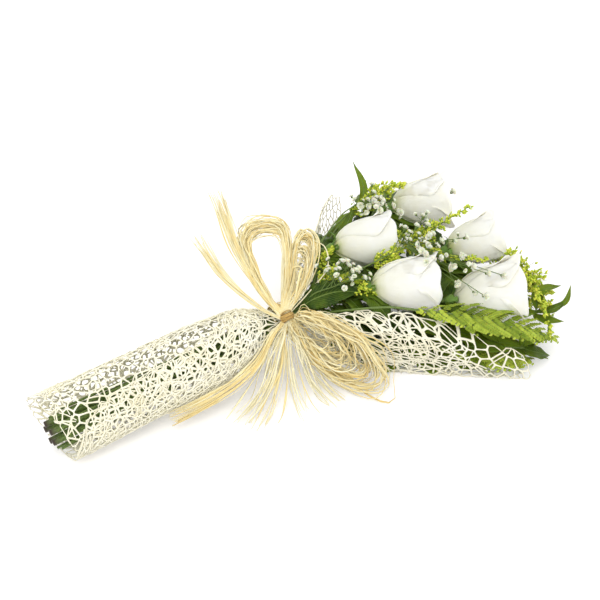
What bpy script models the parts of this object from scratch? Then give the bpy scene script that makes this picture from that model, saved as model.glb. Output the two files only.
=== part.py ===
"""A florist's bouquet of five white roses, laid on its side on a table.

The stems run along X, from their cut ends at -X to the flowers at +X, and are bound at the waist.
A sheet of open net is rolled round the stems, pinched at the waist and opened out as a collar
under the flowers. A raffia bow is tied over the waist. Lengths are in metres and Z is up; the
table is the plane Z = 0.
"""

import math

import bmesh
import bpy
from mathutils import Matrix, Vector

# The whole bouquet
OBJECT_NAME = "rose_bouquet"
MM = 0.001
WAIST = Vector((0.0054, 0.0056, 0.0450))  # the middle of the binding
CUT_END = 246.0  # from the waist back to the cut ends, in millimetres
SEAT_GAP = 0.0003  # between two pieces that touch
SMOOTH_ANGLE = math.radians(40)
UP = Vector((0, 0, 1))

# Stems, in millimetres
ROSE_RING = 4.5  # radius of the ring of rose stems at the waist
GREEN_RING = 8.2  # radius of the ring of thin stems round them
ROSE_STEM_RADIUS = 2.2
ROSE_STEM_FOOT_RADIUS = 2.9
CALYX_RADIUS = 5.4
CALYX_LENGTH = 9.0
CALYX_PROFILE = (  # how far below its top, against its length, and the radius there
    (1.0, ROSE_STEM_RADIUS), (0.72, 0.75 * CALYX_RADIUS), (0.4, CALYX_RADIUS), (0.0, CALYX_RADIUS),
)
CALYX_LEAD = 1.7  # the stem is straight this many calyx lengths below the flower
CALYX_CLEAR = 1.25  # its own points end this many calyx lengths below the flower
GREEN_STEM_RADIUS = 1.0
CUT_END_SPREAD = 1.05  # how much wider the bundle is at its cut ends, added to 1
CUT_END_DROP = 20.0  # how far the cut ends lie below the waist
FAN_RATE = 0.025  # how fast the bundle widens in front of the waist, each millimetre
BOUND_AT = (-170.0, -90.0, -38.0, -17.5, -8.5, 14.0)  # where a stem is held in the bundle

# Greens and small flowers, in millimetres
BLADE_THICKNESS = 1.0
FERN_TEETH = 0.3  # how deep a frond's edge is cut, against its width
LEAF_THICKNESS = 0.9
LEAF_STALK = 1.6
LEAF_TIP = 0.8
PLUME_TIP = 1.2
TWIG_RADIUS = 0.6
FLORET_RADIUS = 4.0

# Rose heads, in millimetres
HEAD_LENGTH = 62.0
HEART_RADIUS = 20.0
HEART_PROFILE = (
    (0.00, 0.24), (0.06, 0.46), (0.16, 0.74), (0.30, 0.93), (0.46, 1.00),
    (0.64, 0.98), (0.78, 0.86), (0.88, 0.64), (0.94, 0.36), (0.96, 0.00),
)
PETALS = 4
PETAL_SPAN = math.radians(118)
PETAL_THICKNESS = 0.8
PETAL_CLEARANCE = 1.1
PETAL_STEP = 2.2  # how far one edge of a petal lies outside its other edge
PETAL_FLARE = 4.0
PETAL_SHOULDER = 0.86  # height of the petal's corners against its tip
PETAL_ROWS = ((0.0, 0.0), (0.2, 0.16), (0.4, 0.30), (0.6, 0.46), (0.8, 0.72), (1.0, 1.0))

# Net wrap, in millimetres
WRAP_THICKNESS = 0.8
WRAP_PITCH = 2.0  # from one turn of the rolled sheet to the next
WRAP_ACROSS = 26
MOUTH_SLANT = 17.0  # how much shorter the sleeve is at its near side than at its far side

# Inner tie, in millimetres
TIE_RING = 10.3
TIE_RADIUS = 0.5
TIE_AT = -17.5

# Raffia, in millimetres
BAND_AT = -8.5  # from the waist to the middle of the band and the knot
BAND_INNER = 14.3
BAND_OUTER = 16.0
BAND_HALF_WIDTH = 5.0
KNOT_LEAN = math.radians(40)  # from straight up, toward -Y
KNOT_RADIUS = 8.0
KNOT_THICKNESS = 5.0
LEG_START = 8.9  # from the middle of the knot to the root of a raffia bundle
LEG_ROOT_WIDTH = 2.4
LEG_ROOT_DEPTH = 2.0


# Places and curves

def spot(x, y, z):
    """A point from millimetres along and across from the waist and above the table."""
    return Vector((WAIST.x + x * MM, WAIST.y + y * MM, z * MM))


def blend(low, high, t):
    return low + (high - low) * t


def ease(t):
    """0 to 1 with level ends, for t from 0 to 1."""
    t = min(max(t, 0.0), 1.0)
    return t * t * (3 - 2 * t)


def table_value(table, x):
    """The value at x in rows of (x, value), with straight lines between the rows."""
    if x <= table[0][0]:
        return table[0][1]
    for (x0, y0), (x1, y1) in zip(table, table[1:]):
        if x <= x1:
            return blend(y0, y1, (x - x0) / (x1 - x0))
    return table[-1][1]


def smooth_path(points, count, before=None):
    """count points evenly spaced along a smooth curve through points, which comes from before."""
    first = 2 * points[0] - points[1] if before is None else before
    ends = [first] + list(points) + [2 * points[-1] - points[-2]]
    dense = []
    steps = 16
    for a, b, c, d in zip(ends, ends[1:], ends[2:], ends[3:]):
        reach = (c - b).length
        start = (c - a).normalized() * reach
        finish = (d - b).normalized() * reach
        for k in range(steps):
            t = k / steps
            dense.append(
                b * (2 * t**3 - 3 * t**2 + 1) + start * (t**3 - 2 * t**2 + t)
                + c * (3 * t**2 - 2 * t**3) + finish * (t**3 - t**2)
            )
    dense.append(points[-1].copy())
    lengths = [0.0]
    for a, b in zip(dense, dense[1:]):
        lengths.append(lengths[-1] + (b - a).length)
    path = []
    k = 0
    for i in range(count):
        wanted = lengths[-1] * i / (count - 1)
        while k < len(dense) - 2 and lengths[k + 1] < wanted:
            k += 1
        part = (wanted - lengths[k]) / max(lengths[k + 1] - lengths[k], 1e-9)
        path.append(dense[k].lerp(dense[k + 1], min(part, 1.0)))
    return path


def bundle_spot(x, across, up):
    """Where the stem that has its place (across, up) at the waist passes x, near or behind it."""
    back = max(-x, 0) / CUT_END
    spread = 1 + CUT_END_SPREAD * back**1.3 + FAN_RATE * max(x, 0)
    height = WAIST.z / MM - CUT_END_DROP * back
    return spot(x, across * spread, height + up * spread)


def bundled(angle, ring, end):
    """The points of a stem from its cut end to just past the waist. Angle 0 is the +Y side and 90
    the top."""
    across = ring * math.cos(math.radians(angle))
    up = ring * math.sin(math.radians(angle))
    return [bundle_spot(x, across, up) for x in (-end, *BOUND_AT)]


def stem_path(angle, ring, end, passes, count):
    """A stem's path: the bound part, then count points along a smooth curve through passes."""
    bound = bundled(angle, ring, end)
    free = smooth_path(bound[-1:] + list(passes), count, before=bound[-2])
    return bound + free[1:]


# Objects

def new_material(name, colour, roughness):
    material = bpy.data.materials.new(name)
    material.use_nodes = True
    shader = material.node_tree.nodes["Principled BSDF"]
    shader.inputs["Base Color"].default_value = (*colour, 1)
    shader.inputs["Roughness"].default_value = roughness
    shader.inputs["Metallic"].default_value = 0.0
    return material


def add_object(name, mesh, material):
    obj = bpy.data.objects.new(name, mesh)
    obj.data.materials.append(material)
    part.objects.link(obj)
    return obj


def to_mesh(name, shape):
    mesh = bpy.data.meshes.new(name)
    shape.to_mesh(mesh)
    shape.free()
    mesh.shade_smooth()
    mesh.set_sharp_from_angle(angle=SMOOTH_ANGLE)
    return mesh


def loft(path, widths, depths, facing, sides):
    """A closed body along path. Its sections are ellipses, with the given widths across and
    depths through in millimetres, and its flat side looks along facing, one direction for the
    whole path or one for each point."""
    shape = bmesh.new()
    looks = facing if isinstance(facing, list) else [facing] * len(path)
    rings = []
    last = len(path) - 1
    for i, centre in enumerate(path):
        ahead = (path[min(i + 1, last)] - path[max(i - 1, 0)]).normalized()
        across = looks[i].cross(ahead).normalized()
        through = ahead.cross(across)
        half_width = widths[i] * MM / 2
        half_depth = depths[i] * MM / 2
        ring = []
        for k in range(sides):
            turn = 2 * math.pi * k / sides
            offset = across * (half_width * math.cos(turn)) + through * (half_depth * math.sin(turn))
            ring.append(shape.verts.new(centre + offset))
        rings.append(ring)
    for low, high in zip(rings, rings[1:]):
        for k in range(sides):
            after = (k + 1) % sides
            shape.faces.new((low[k], low[after], high[after], high[k]))
    shape.faces.new(list(reversed(rings[0])))
    shape.faces.new(rings[-1])
    return shape


def fuse(name, shapes, material):
    """One body made of the closed bodies in shapes, which cross each other."""
    pieces = []
    for i, shape in enumerate(shapes):
        piece = bpy.data.objects.new(f"{name}_piece_{i}", to_mesh(f"{name}_piece_{i}", shape))
        cutters.objects.link(piece)
        pieces.append(piece)
    for piece in pieces[1:]:
        joint = pieces[0].modifiers.new("fuse", "BOOLEAN")
        joint.operation = "UNION"
        joint.solver = "EXACT"
        joint.object = piece
    bpy.context.view_layer.update()
    evaluated = pieces[0].evaluated_get(bpy.context.evaluated_depsgraph_get())
    mesh = bpy.data.meshes.new_from_object(evaluated)
    mesh.name = name
    mesh.materials.clear()
    for piece in pieces:
        bpy.data.objects.remove(piece)
    mesh.shade_smooth()
    mesh.set_sharp_from_angle(angle=SMOOTH_ANGLE)
    return add_object(name, mesh, material)


# Roses

def head_axes(yaw, pitch, roll):
    """The rotation that stands a rose head's own Z along its stem's end."""
    along = Vector((
        math.cos(math.radians(pitch)) * math.cos(math.radians(yaw)),
        math.cos(math.radians(pitch)) * math.sin(math.radians(yaw)),
        math.sin(math.radians(pitch)),
    ))
    return along, along.to_track_quat("Z", "Y").to_matrix().to_4x4() @ Matrix.Rotation(
        math.radians(roll), 4, "Z"
    )


def rose_stem(name, angle, mid_points, base, along):
    """A stem from its cut end to the flat top of its calyx, as one tapered tube."""
    passes = mid_points + [base - along * (CALYX_LENGTH * CALYX_LEAD * MM), base]
    path = stem_path(angle, ROSE_RING, CUT_END, passes, 12)
    curve = bpy.data.curves.new(name, "CURVE")
    curve.dimensions = "3D"
    curve.bevel_depth = MM
    curve.bevel_resolution = 1
    curve.use_fill_caps = True
    spline = curve.splines.new("POLY")
    # The calyx gets points of its own, so that it widens over its own length.
    calyx = [base - along * (CALYX_LENGTH * below * MM) for below, radius in CALYX_PROFILE]
    calyx_radii = [radius for below, radius in CALYX_PROFILE]
    stem = [p for p in path if (p - base).length > CALYX_LENGTH * CALYX_CLEAR * MM]
    route = stem + calyx
    spline.points.add(len(route) - 1)
    for i, place in enumerate(route):
        spline.points[i].co = (*place, 1)
        if i >= len(stem):
            spline.points[i].radius = calyx_radii[i - len(stem)]
        else:
            behind = max(WAIST.x - place.x, 0.0) / (CUT_END * MM)
            spline.points[i].radius = blend(ROSE_STEM_RADIUS, ROSE_STEM_FOOT_RADIUS, behind)
    obj = bpy.data.objects.new(name, curve)
    curve.materials.append(rose_stem_skin)
    part.objects.link(obj)


def heart_radius(fraction):
    return table_value(HEART_PROFILE, fraction) * HEART_RADIUS


def rose_heart(name, base, axes, size):
    """The closed middle of the flower, a turned bud."""
    shape = bmesh.new()
    points = []
    for height, radius in reversed(HEART_PROFILE):
        centre = (radius * HEART_RADIUS * size * MM, 0, height * HEAD_LENGTH * size * MM)
        points.append(shape.verts.new(centre))
    points.append(shape.verts.new((0, 0, 0)))
    for a, b in zip(points, points[1:]):
        shape.edges.new((a, b))
    obj = add_object(name, to_mesh(name, shape), rose_petal_skin)
    turn = obj.modifiers.new("turn", "SCREW")
    turn.axis = "Z"
    turn.steps = 12
    turn.render_steps = 12
    turn.use_merge_vertices = True
    turn.merge_threshold = 0.00005
    obj.matrix_world = Matrix.Translation(base + axes.to_3x3() @ Vector((0, 0, SEAT_GAP))) @ axes


def petal_place(u, v, start, size):
    """A point on a petal's inner face: u from -1 to 1 across it and v from 0 to 1 up it."""
    drop = (1 - PETAL_SHOULDER) * abs(u) ** 2.2 * ease((v - 0.6) / 0.4)
    height = table_value(PETAL_ROWS, v) - drop
    body = heart_radius(min(height, 0.55)) + PETAL_CLEARANCE
    lip = max(height - 0.62, 0) / 0.38
    radius = body + PETAL_STEP * (u + 1) / 2 + PETAL_FLARE * lip**2
    turn = start + u * PETAL_SPAN / 2 * blend(0.62, 1.0, ease(v / 0.4))
    radius *= size * MM
    return Vector((
        radius * math.cos(turn),
        radius * math.sin(turn),
        height * HEAD_LENGTH * size * MM,
    ))


def rose_petal(name, base, axes, size, number):
    """One outer petal, cupped round the heart, with one edge tucked under the next petal."""
    shape = bmesh.new()
    bmesh.ops.create_grid(shape, x_segments=5, y_segments=5, size=1)
    start = 2 * math.pi * number / PETALS
    for corner in shape.verts:
        corner.co = petal_place(corner.co.x, (corner.co.y + 1) / 2, start, size)
    obj = add_object(name, to_mesh(name, shape), rose_petal_skin)
    sheet = obj.modifiers.new("thickness", "SOLIDIFY")
    sheet.thickness = PETAL_THICKNESS * MM
    sheet.offset = 1
    obj.matrix_world = Matrix.Translation(base + axes.to_3x3() @ Vector((0, 0, SEAT_GAP))) @ axes


# Each rose: name, angle of its stem at the waist, points its stem passes, top of its calyx,
# yaw and pitch of its head, turn about its axis, size against HEAD_LENGTH.
ROSES = (
    ("rose_1", 54, ((38, 15, 56),), (71.4, 34.1, 64), -12, 4, 20, 1.0),
    ("rose_2", 126, ((38, -14, 54),), (76, -34, 61), -14, 3, 75, 1.05),
    ("rose_3", 342, ((60, 18, 38), (112, 46, 44)), (152.7, 56, 58.7), -20, 8, 50, 1.02),
    ("rose_4", 270, ((60, -3, 38), (120, -12, 41)), (170, -18, 55), -3, 8, 100, 0.98),
    ("rose_5", 198, ((55, -28, 33), (104, -62, 30)), (139.5, -76.3, 48.1), -12, 10, 0, 1.10),
)


def roses():
    for name, angle, passes, top, yaw, pitch, roll, size in ROSES:
        along, axes = head_axes(yaw, pitch, roll)
        base = spot(*top)
        rose_stem(f"{name}_stem", angle, [spot(*p) for p in passes], base, along)
        rose_heart(f"{name}_heart", base, axes, size)
        for number in range(PETALS):
            rose_petal(f"{name}_petal_{number + 1}", base, axes, size, number)


# Net wrap

# Along the roll: x, height of its middle and its radius.
COLLAR_START = -8.0
ROLL_MIDDLE = ((-251, 32.0), (-42, 44.0), (-16, 45.0), (-8, 45.0), (60, 47.0), (170, 47.0))
ROLL_RADIUS = (
    (-251, 32.0), (-90, 31.0), (-50, 29.0), (-35, 24.0), (-24, 18.6), (-17, 15.2), (-14, 13.9),
    (-8, 13.6),
)
# Angles of the sheet's two long edges, from straight up toward -Y.
OUTER_EDGE = (
    (-251, 128), (-125, 52), (-48, -30), (-22, 0), (-8, 26), (12, 58), (42, 68), (77, 78), (118, 85),
    (150, 95), (170, 106),
)
INNER_EDGE = (
    (-251, 530), (-125, 500), (-53, 470), (-22, 350), (-8, 338), (40, 300), (74, 284), (128, 284),
    (170, 268),
)
# Half widths of the collar on its near and far sides, and how far the middle line is from its
# floor and from the tops of its near and far sides.
NEAR_WIDTH = (
    (-8, 13.6), (-2, 13.9), (1, 16.0), (8, 26.0), (24, 46.0), (63, 81.0), (110, 117.0), (170, 158.0),
)
FAR_WIDTH = (
    (-8, 13.6), (-2, 13.9), (1, 16.0), (8, 24.0), (24, 40.0), (63, 68.0), (110, 106.0), (170, 135.0),
)
FLOOR_DEPTH = (
    (-8, 13.6), (-2, 13.9), (2, 20.0), (12, 36.0), (28, 56.0), (42, 90.0), (170, 120.0),
)
NEAR_TOP = ((-8, 13.6), (-2, 13.9), (1, 16.0), (8, 20.0), (24, 22.0), (63, 16.0), (170, 16.0))
FAR_TOP = (
    (-8, 13.6), (-2, 13.9), (1, 16.0), (8, 20.0), (24, 26.0), (63, 40.0), (110, 60.0), (170, 60.0),
)
ALONG = (
    -251, -225, -185, -140, -95, -68, -50, -40, -32, -24, -17, -14, -8, -2, 2, 8, 16, 26, 42, 62,
    86, 114, 142, 170,
)


def collar_radius(x, turn):
    """Distance of the collar from the roll's middle line, by angle from straight up toward -Y."""
    near = math.sin(turn) > 0
    side = table_value(NEAR_WIDTH if near else FAR_WIDTH, x)
    level = table_value(FLOOR_DEPTH, x)
    if math.cos(turn) > 0:
        level = table_value(NEAR_TOP if near else FAR_TOP, x)
    power = blend(2.0, 2.6, ease((x - COLLAR_START) / 40))
    return (abs(math.sin(turn) / side) ** power + abs(math.cos(turn) / level) ** power) ** (-1 / power)


def wrap_spot(x, t):
    """A point on the wrap's outer face: t from 0 at its outer edge to 1 at its inner edge."""
    degrees = blend(table_value(OUTER_EDGE, x), table_value(INNER_EDGE, x), t)
    turn = math.radians(degrees)
    radius = collar_radius(x, turn)
    if x < COLLAR_START:
        radius = table_value(ROLL_RADIUS, x)
    radius -= WRAP_PITCH * degrees / 360
    middle = table_value(ROLL_MIDDLE, x)
    reach = max(x - 62, 0)
    # The far side of the collar is cut shorter than the near side.
    x_here = x - reach * 0.30 * ease((degrees - 110) / 150)
    slant = MOUTH_SLANT * (1 - math.cos(turn - math.radians(310))) / 2
    x_here += slant * ease((-100 - x) / 150)
    y = -radius * math.sin(turn)
    z = middle + radius * math.cos(turn)
    return spot(x_here, y, max(z, 0.0))


def net_wrap():
    shape = bmesh.new()
    rows = []
    for x in ALONG:
        rows.append([shape.verts.new(wrap_spot(x, k / WRAP_ACROSS)) for k in range(WRAP_ACROSS + 1)])
    for low, high in zip(rows, rows[1:]):
        for k in range(WRAP_ACROSS):
            shape.faces.new((low[k], low[k + 1], high[k + 1], high[k]))
    obj = add_object("net_wrap", to_mesh("net_wrap", shape), net_fibre)
    sheet = obj.modifiers.new("thickness", "SOLIDIFY")
    sheet.thickness = WRAP_THICKNESS * MM
    sheet.offset = -1


# Greens and small flowers

def stem_and_blade(angle, end, passes, blade, width):
    """One loft from a thin round stem to a flat blade with a cut edge."""
    blade_points = [spot(*p) for p in blade]
    passes = [spot(*p) for p in passes]
    stem = stem_path(angle, GREEN_RING, end, passes + blade_points[:1], 7)
    leaf = smooth_path(blade_points, 20, before=passes[-1])
    widths = [2 * GREEN_STEM_RADIUS] * len(stem)
    depths = list(widths)
    for i in range(1, len(leaf)):
        t = i / (len(leaf) - 1)
        full = width * math.sin(math.pi * min(t**0.75, 0.98))
        widths.append(max(full * (1 - FERN_TEETH * (i % 2)), LEAF_STALK))
        depths.append(BLADE_THICKNESS)
    return loft(stem + leaf[1:], widths, depths, UP, 5)


def green_path(angle, end, passes):
    """The line of a thin stem from its cut end through passes."""
    return stem_path(angle, GREEN_RING, end, [spot(*p) for p in passes], 9)


def plain_stem(path):
    """A thin round stem along path, finer at its tip."""
    widths = [2 * GREEN_STEM_RADIUS] * len(path)
    widths[-1] = GREEN_STEM_RADIUS
    return loft(path, widths, widths, UP, 5)


def grown_from(path, points):
    """The run of points, which starts at the place of path nearest to the first of them."""
    run = [spot(*p) for p in points]
    root = path[0]
    for a, b in zip(path, path[1:]):
        along = (run[0] - a).dot(b - a) / (b - a).length_squared
        place = a.lerp(b, min(max(along, 0), 1))
        if (place - run[0]).length < (root - run[0]).length:
            root = place
    return [root] + run[1:]


def leaf_shape(points, width, facing=UP, count=9):
    """A leaf on a short stalk."""
    path = smooth_path(points, count)
    widths = []
    for i in range(count):
        t = i / (count - 1)
        least = LEAF_STALK if t < 0.2 else LEAF_TIP
        widths.append(max(width * math.sin(math.pi * min(t**0.8, 0.98)), least))
    return loft(path, widths, [LEAF_THICKNESS] * count, facing, 4)


def twig(root, tip):
    width = [2 * TWIG_RADIUS] * 2
    return loft([root, tip], width, width, Vector((0.2, 0.1, 1)).normalized(), 5)


def floret(centre):
    """A small round flower."""
    shape = bmesh.new()
    bmesh.ops.create_icosphere(shape, subdivisions=1, radius=FLORET_RADIUS * MM)
    bmesh.ops.translate(shape, verts=shape.verts, vec=centre)
    return shape


def plume(points, width, count=12):
    """A feathery flower spike, thick and thin by turns."""
    path = smooth_path(points, count)
    widths = []
    for i in range(count):
        t = i / (count - 1)
        widths.append(max(width * math.sin(math.pi * min(t**0.6, 0.97)) * (1 - 0.3 * (i % 2)), PLUME_TIP))
    return loft(path, widths, widths, UP, 5)


def fern_fronds():
    fronds = (
        ("fern_frond_1", 168, 236, ((40, -36, 62), (72, -58, 68)),
         ((92, -73, 67), (124, -99, 65), (162, -128, 57), (200, -150, 36)), 38),
        ("fern_frond_2", 222, 240, ((50, -40, 24), (90, -70, 20)),
         ((110, -86, 19), (146, -116, 17), (178, -142, 12)), 34),
        ("fern_frond_3", 310, 232, ((50, 24, 24), (100, 50, 22)),
         ((120, 60, 24), (160, 82, 28), (205, 100, 34)), 36),
    )
    for name, angle, end, passes, blade, width in fronds:
        shape = stem_and_blade(angle, end, passes, blade, width)
        add_object(name, to_mesh(name, shape), fern_skin)


def ruscus_sprigs():
    """Thin stems with smooth leaves by turns on both sides."""
    sprigs = (
        ("ruscus_sprig_1", 0, 238, ((50, 36, 48), (95, 66, 56), (135, 80, 64), (150, 96, 74)), (
            (((95, 66, 56.5), (108, 80, 64), (126, 88, 68)), 15),
            (((135, 80, 64), (150, 76, 66), (170, 84, 60)), 14),
            (((148, 94, 73), (156, 104, 79), (164, 118, 84)), 9),
        )),
        ("ruscus_sprig_2", 250, 242, ((60, -34, 20), (120, -62, 12), (180, -98, 18), (214, -112, 38)), (
            (((184, -100, 19), (204, -92, 22), (222, -80, 26)), 13),
            (((212, -111, 39), (224, -108, 46), (240, -112, 52)), 12),
            (((208, -109, 37.5), (220, -120, 38), (234, -132, 42)), 12),
        )),
        ("ruscus_sprig_3", 196, 234, ((40, -40, 36), (80, -76, 25), (130, -106, 26), (176, -134, 24)), (
            (((130, -106, 26), (146, -122, 31), (160, -134, 28)), 13),
            (((172, -131, 24), (190, -132, 26), (208, -142, 22)), 14),
            (((174, -133, 24), (184, -146, 20), (196, -154, 12)), 12),
        )),
    )
    for name, angle, end, passes, leaves in sprigs:
        path = green_path(angle, end, passes)
        shapes = [plain_stem(path)]
        for points, width in leaves:
            shapes.append(leaf_shape(grown_from(path, points), width))
        fuse(name, shapes, leaf_skin)


def solidago_sprays():
    sprays = (
        ("solidago_spray_1", 26, 230, ((50, 42, 61), (100, 62, 72), (140, 66, 78)), (
            (((136, 66, 78), (160, 66, 82), (188, 64, 84)), 11),
            (((128, 65, 76), (146, 74, 76), (164, 82, 74)), 9),
        )),
        ("solidago_spray_2", 86, 238, ((45, 2, 62), (90, -4, 70), (130, -6, 76)), (
            (((126, -6, 76), (160, -6, 82), (206, -4, 88)), 10),
            (((100, -4, 72), (112, -2, 80), (122, 1, 87)), 9),
        )),
        ("solidago_spray_3", 278, 240, ((60, -12, 26), (120, -40, 20), (184, -54, 16), (214, -60, 30)), (
            (((212, -60, 28), (217, -54, 48), (218, -50, 66)), 11),
            (((212, -60, 28), (220, -84, 44), (214, -104, 48)), 11),
            (((206, -58, 24), (222, -84, 33), (222, -102, 36)), 10),
        )),
    )
    for name, angle, end, passes, plumes in sprays:
        path = green_path(angle, end, passes)
        shapes = [plain_stem(path)]
        for points, width in plumes:
            shapes.append(plume(grown_from(path, points), width))
        fuse(name, shapes, solidago_skin)


def gypsophila_sprays():
    """Fine forking stems with small round flowers at their tips."""
    sprays = (
        ("gypsophila_spray_1", 56, 226, ((50, 34, 70), (95, 56, 84), (120, 58, 88)),
         ((136, 62, 90), (150, 54, 92), (144, 70, 93), (166, 58, 94))),
        ("gypsophila_spray_2", 114, 232, ((50, -5, 66), (96, -11, 80), (122, -14, 84)),
         ((140, -20, 84), (152, -26, 92), (142, 4, 88),
          (156, 16, 84), (160, -44, 95), (172, -66, 95))),
        ("gypsophila_spray_3", 142, 228, ((22, -5, 64), (42, -16, 76)),
         ((58, -14, 79), (62, -26, 80), (50, -6, 80), (64, -6, 82))),
        ("gypsophila_spray_4", 334, 236, ((60, 30, 30), (120, 56, 32), (170, 78, 40)),
         ((196, 84, 48), (206, 92, 44), (188, 88, 54), (214, 84, 40))),
    )
    for name, angle, end, passes, tips in sprays:
        path = green_path(angle, end, passes)
        shapes = [plain_stem(path)]
        for i, tip in enumerate(tips):
            up_the_stem = min(0.4 + 0.2 * i, 1)
            fork = tuple(blend(a, b, up_the_stem) for a, b in zip(passes[-2], passes[-1]))
            root, end_spot = grown_from(path, (fork, tip))
            shapes.append(twig(root, end_spot))
            shapes.append(floret(end_spot))
        fuse(name, shapes, gypsophila_skin)


def rose_leaves():
    leaves = (
        ("rose_leaf_1", ((22, -9, 54.3), (34, -16, 60), (50, -21, 64), (67, -26, 68)), 22),
        ("rose_leaf_2", ((62, 24, 30), (80, 50, 40), (98, 66, 48), (120, 78, 52)), 26),
        ("rose_leaf_3", ((69, -40.5, 32), (84, -57, 33), (100, -72, 31), (118, -86, 26)), 24),
    )
    for name, points, width in leaves:
        shape = leaf_shape([spot(*p) for p in points], width, Vector((-0.1, -0.2, 1)))
        add_object(name, to_mesh(name, shape), leaf_skin)


# Tie and raffia

def waist_band():
    """A turned ring round the waist."""
    shape = bmesh.new()
    corners = (
        (BAND_OUTER, BAND_HALF_WIDTH), (BAND_OUTER, -BAND_HALF_WIDTH),
        (BAND_INNER, -BAND_HALF_WIDTH), (BAND_INNER, BAND_HALF_WIDTH),
    )
    points = [shape.verts.new((r * MM, 0, h * MM)) for r, h in corners]
    for a, b in zip(points, points[1:] + points[:1]):
        shape.edges.new((a, b))
    obj = add_object("waist_band", to_mesh("waist_band", shape), raffia_fibre)
    turn = obj.modifiers.new("turn", "SCREW")
    turn.axis = "Z"
    turn.steps = 18
    turn.render_steps = 18
    turn.use_merge_vertices = True
    turn.merge_threshold = 0.00005
    obj.rotation_euler = (0, math.radians(90), 0)
    obj.location = BAND_MIDDLE
    return obj


def stem_tie():
    bpy.ops.mesh.primitive_torus_add(
        location=bundle_spot(TIE_AT, 0, 0),
        rotation=(0, math.radians(90), 0),
        major_radius=TIE_RING * MM,
        minor_radius=TIE_RADIUS * MM,
        major_segments=20,
        minor_segments=4,
    )
    obj = bpy.context.object
    obj.name = "stem_tie"
    obj.data.materials.append(raffia_fibre)
    for collection in list(obj.users_collection):
        collection.objects.unlink(obj)
    part.objects.link(obj)


BAND_MIDDLE = WAIST + Vector((BAND_AT * MM, 0, 0))
KNOT_OUT = Vector((0, -math.sin(KNOT_LEAN), math.cos(KNOT_LEAN)))  # straight out of the waist
KNOT_UP = Vector((0, math.cos(KNOT_LEAN), math.sin(KNOT_LEAN)))  # across the waist, up and away
KNOT = BAND_MIDDLE + KNOT_OUT * ((BAND_OUTER + KNOT_THICKNESS * 0.6) * MM)


def raffia_knot():
    """The band round the waist and the knot on it, as one body."""
    band = waist_band()
    bpy.context.view_layer.update()
    evaluated = band.evaluated_get(bpy.context.evaluated_depsgraph_get())
    ring = bmesh.new()
    ring.from_mesh(evaluated.data)
    ring.transform(band.matrix_world)
    bpy.data.objects.remove(band)
    lump = bmesh.new()
    bmesh.ops.create_uvsphere(lump, u_segments=10, v_segments=6, radius=1)
    size = Matrix.Diagonal((KNOT_RADIUS * MM, KNOT_RADIUS * MM, KNOT_THICKNESS * MM, 1))
    turn = KNOT_OUT.to_track_quat("Z", "Y").to_matrix().to_4x4()
    lump.transform(Matrix.Translation(KNOT) @ turn @ size)
    fuse("raffia_knot", [ring, lump], raffia_fibre)


def leg(angle):
    """Where a raffia bundle leaves the knot: angle 0 is toward the flowers, 90 up and away."""
    turn = math.radians(angle)
    side = Vector((1, 0, 0)) * math.cos(turn) + KNOT_UP * math.sin(turn)
    return KNOT + side * (LEG_START * MM)


def raffia_bundle(name, points, width, depth, end_width, end_facing, count):
    """A flat bundle of strands, narrow at the knot and spread out from it."""
    path = smooth_path(points, count)
    widths = []
    depths = []
    looks = []
    for i in range(count):
        t = i / (count - 1)
        grown = ease(t / 0.3)
        left = ease((1 - t) / 0.3)
        widths.append(blend(LEG_ROOT_WIDTH, width, grown) * left + end_width * (1 - left))
        depths.append(blend(LEG_ROOT_DEPTH, depth, min(grown, max(left, 0.3))))
        looks.append(KNOT_OUT.lerp(end_facing, ease(t * 1.5)))
    add_object(name, to_mesh(name, loft(path, widths, depths, looks, 5)), raffia_fibre)


def raffia_bow():
    loops = (
        ("raffia_loop_1", 122, ((-16, 22, 68), (-12, 50, 78), (-4, 76, 86), (10, 90, 91),
                                (28, 82, 92), (30, 54, 87), (15, 26, 78)), 98, 10, 3.0),
        ("raffia_loop_2", 74, ((13, 12, 70), (30, 32, 77), (42, 52, 84), (53, 56, 86), (56, 38, 80),
                               (33, 12, 69)), 48, 7, 3.0),
        ("raffia_loop_3", -22, ((14, -36, 66), (27, -58, 66), (38, -76, 60), (47, -89, 44),
                                (54, -97, 15), (40, -101, 5), (19, -76, 6), (2, -50, 22),
                                (-4, -32, 42)), -62, 10, 3.0),
    )
    for name, start, points, finish, width, depth in loops:
        route = [leg(start)] + [spot(*p) for p in points] + [leg(finish)]
        raffia_bundle(name, route, width, depth, LEG_ROOT_WIDTH, KNOT_OUT, 22)
    tails = (
        ("raffia_tail_1", 140, ((-22, 20, 72), (-19, 60, 86), (-2, 108, 94), (4, 143, 95)),
         8, 1.6, 3.0),
        ("raffia_tail_2", 162, ((-32, 6, 74), (-41, 44, 80), (-39, 84, 80), (-34, 112, 75)),
         5, 1.6, 2.0),
        ("raffia_tail_3", 208, ((-32, -26, 60), (-52, -36, 47), (-68, -38, 37), (-86, -38, 30),
                                (-116, -37, 24), (-146, -36, 22)), 10, 2.4, 3.0),
        ("raffia_tail_4", 238, ((-24, -28, 54), (-41, -44, 32), (-60, -56, 12), (-84, -66, 2)),
         14, 1.6, 20),
        ("raffia_tail_5", 268, ((-14, -34, 44), (-17, -50, 20), (-16, -66, 6), (-15, -86, 2)),
         12, 1.6, 18),
    )
    for name, start, points, width, depth, end_width in tails:
        route = [leg(start)] + [spot(*p) for p in points]
        raffia_bundle(name, route, width, depth, end_width, UP, 16)


# The build

def clear_scene():
    for obj in list(bpy.data.objects):
        bpy.data.objects.remove(obj)


def new_collection(name):
    collection = bpy.data.collections.new(name)
    bpy.context.scene.collection.children.link(collection)
    return collection


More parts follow.
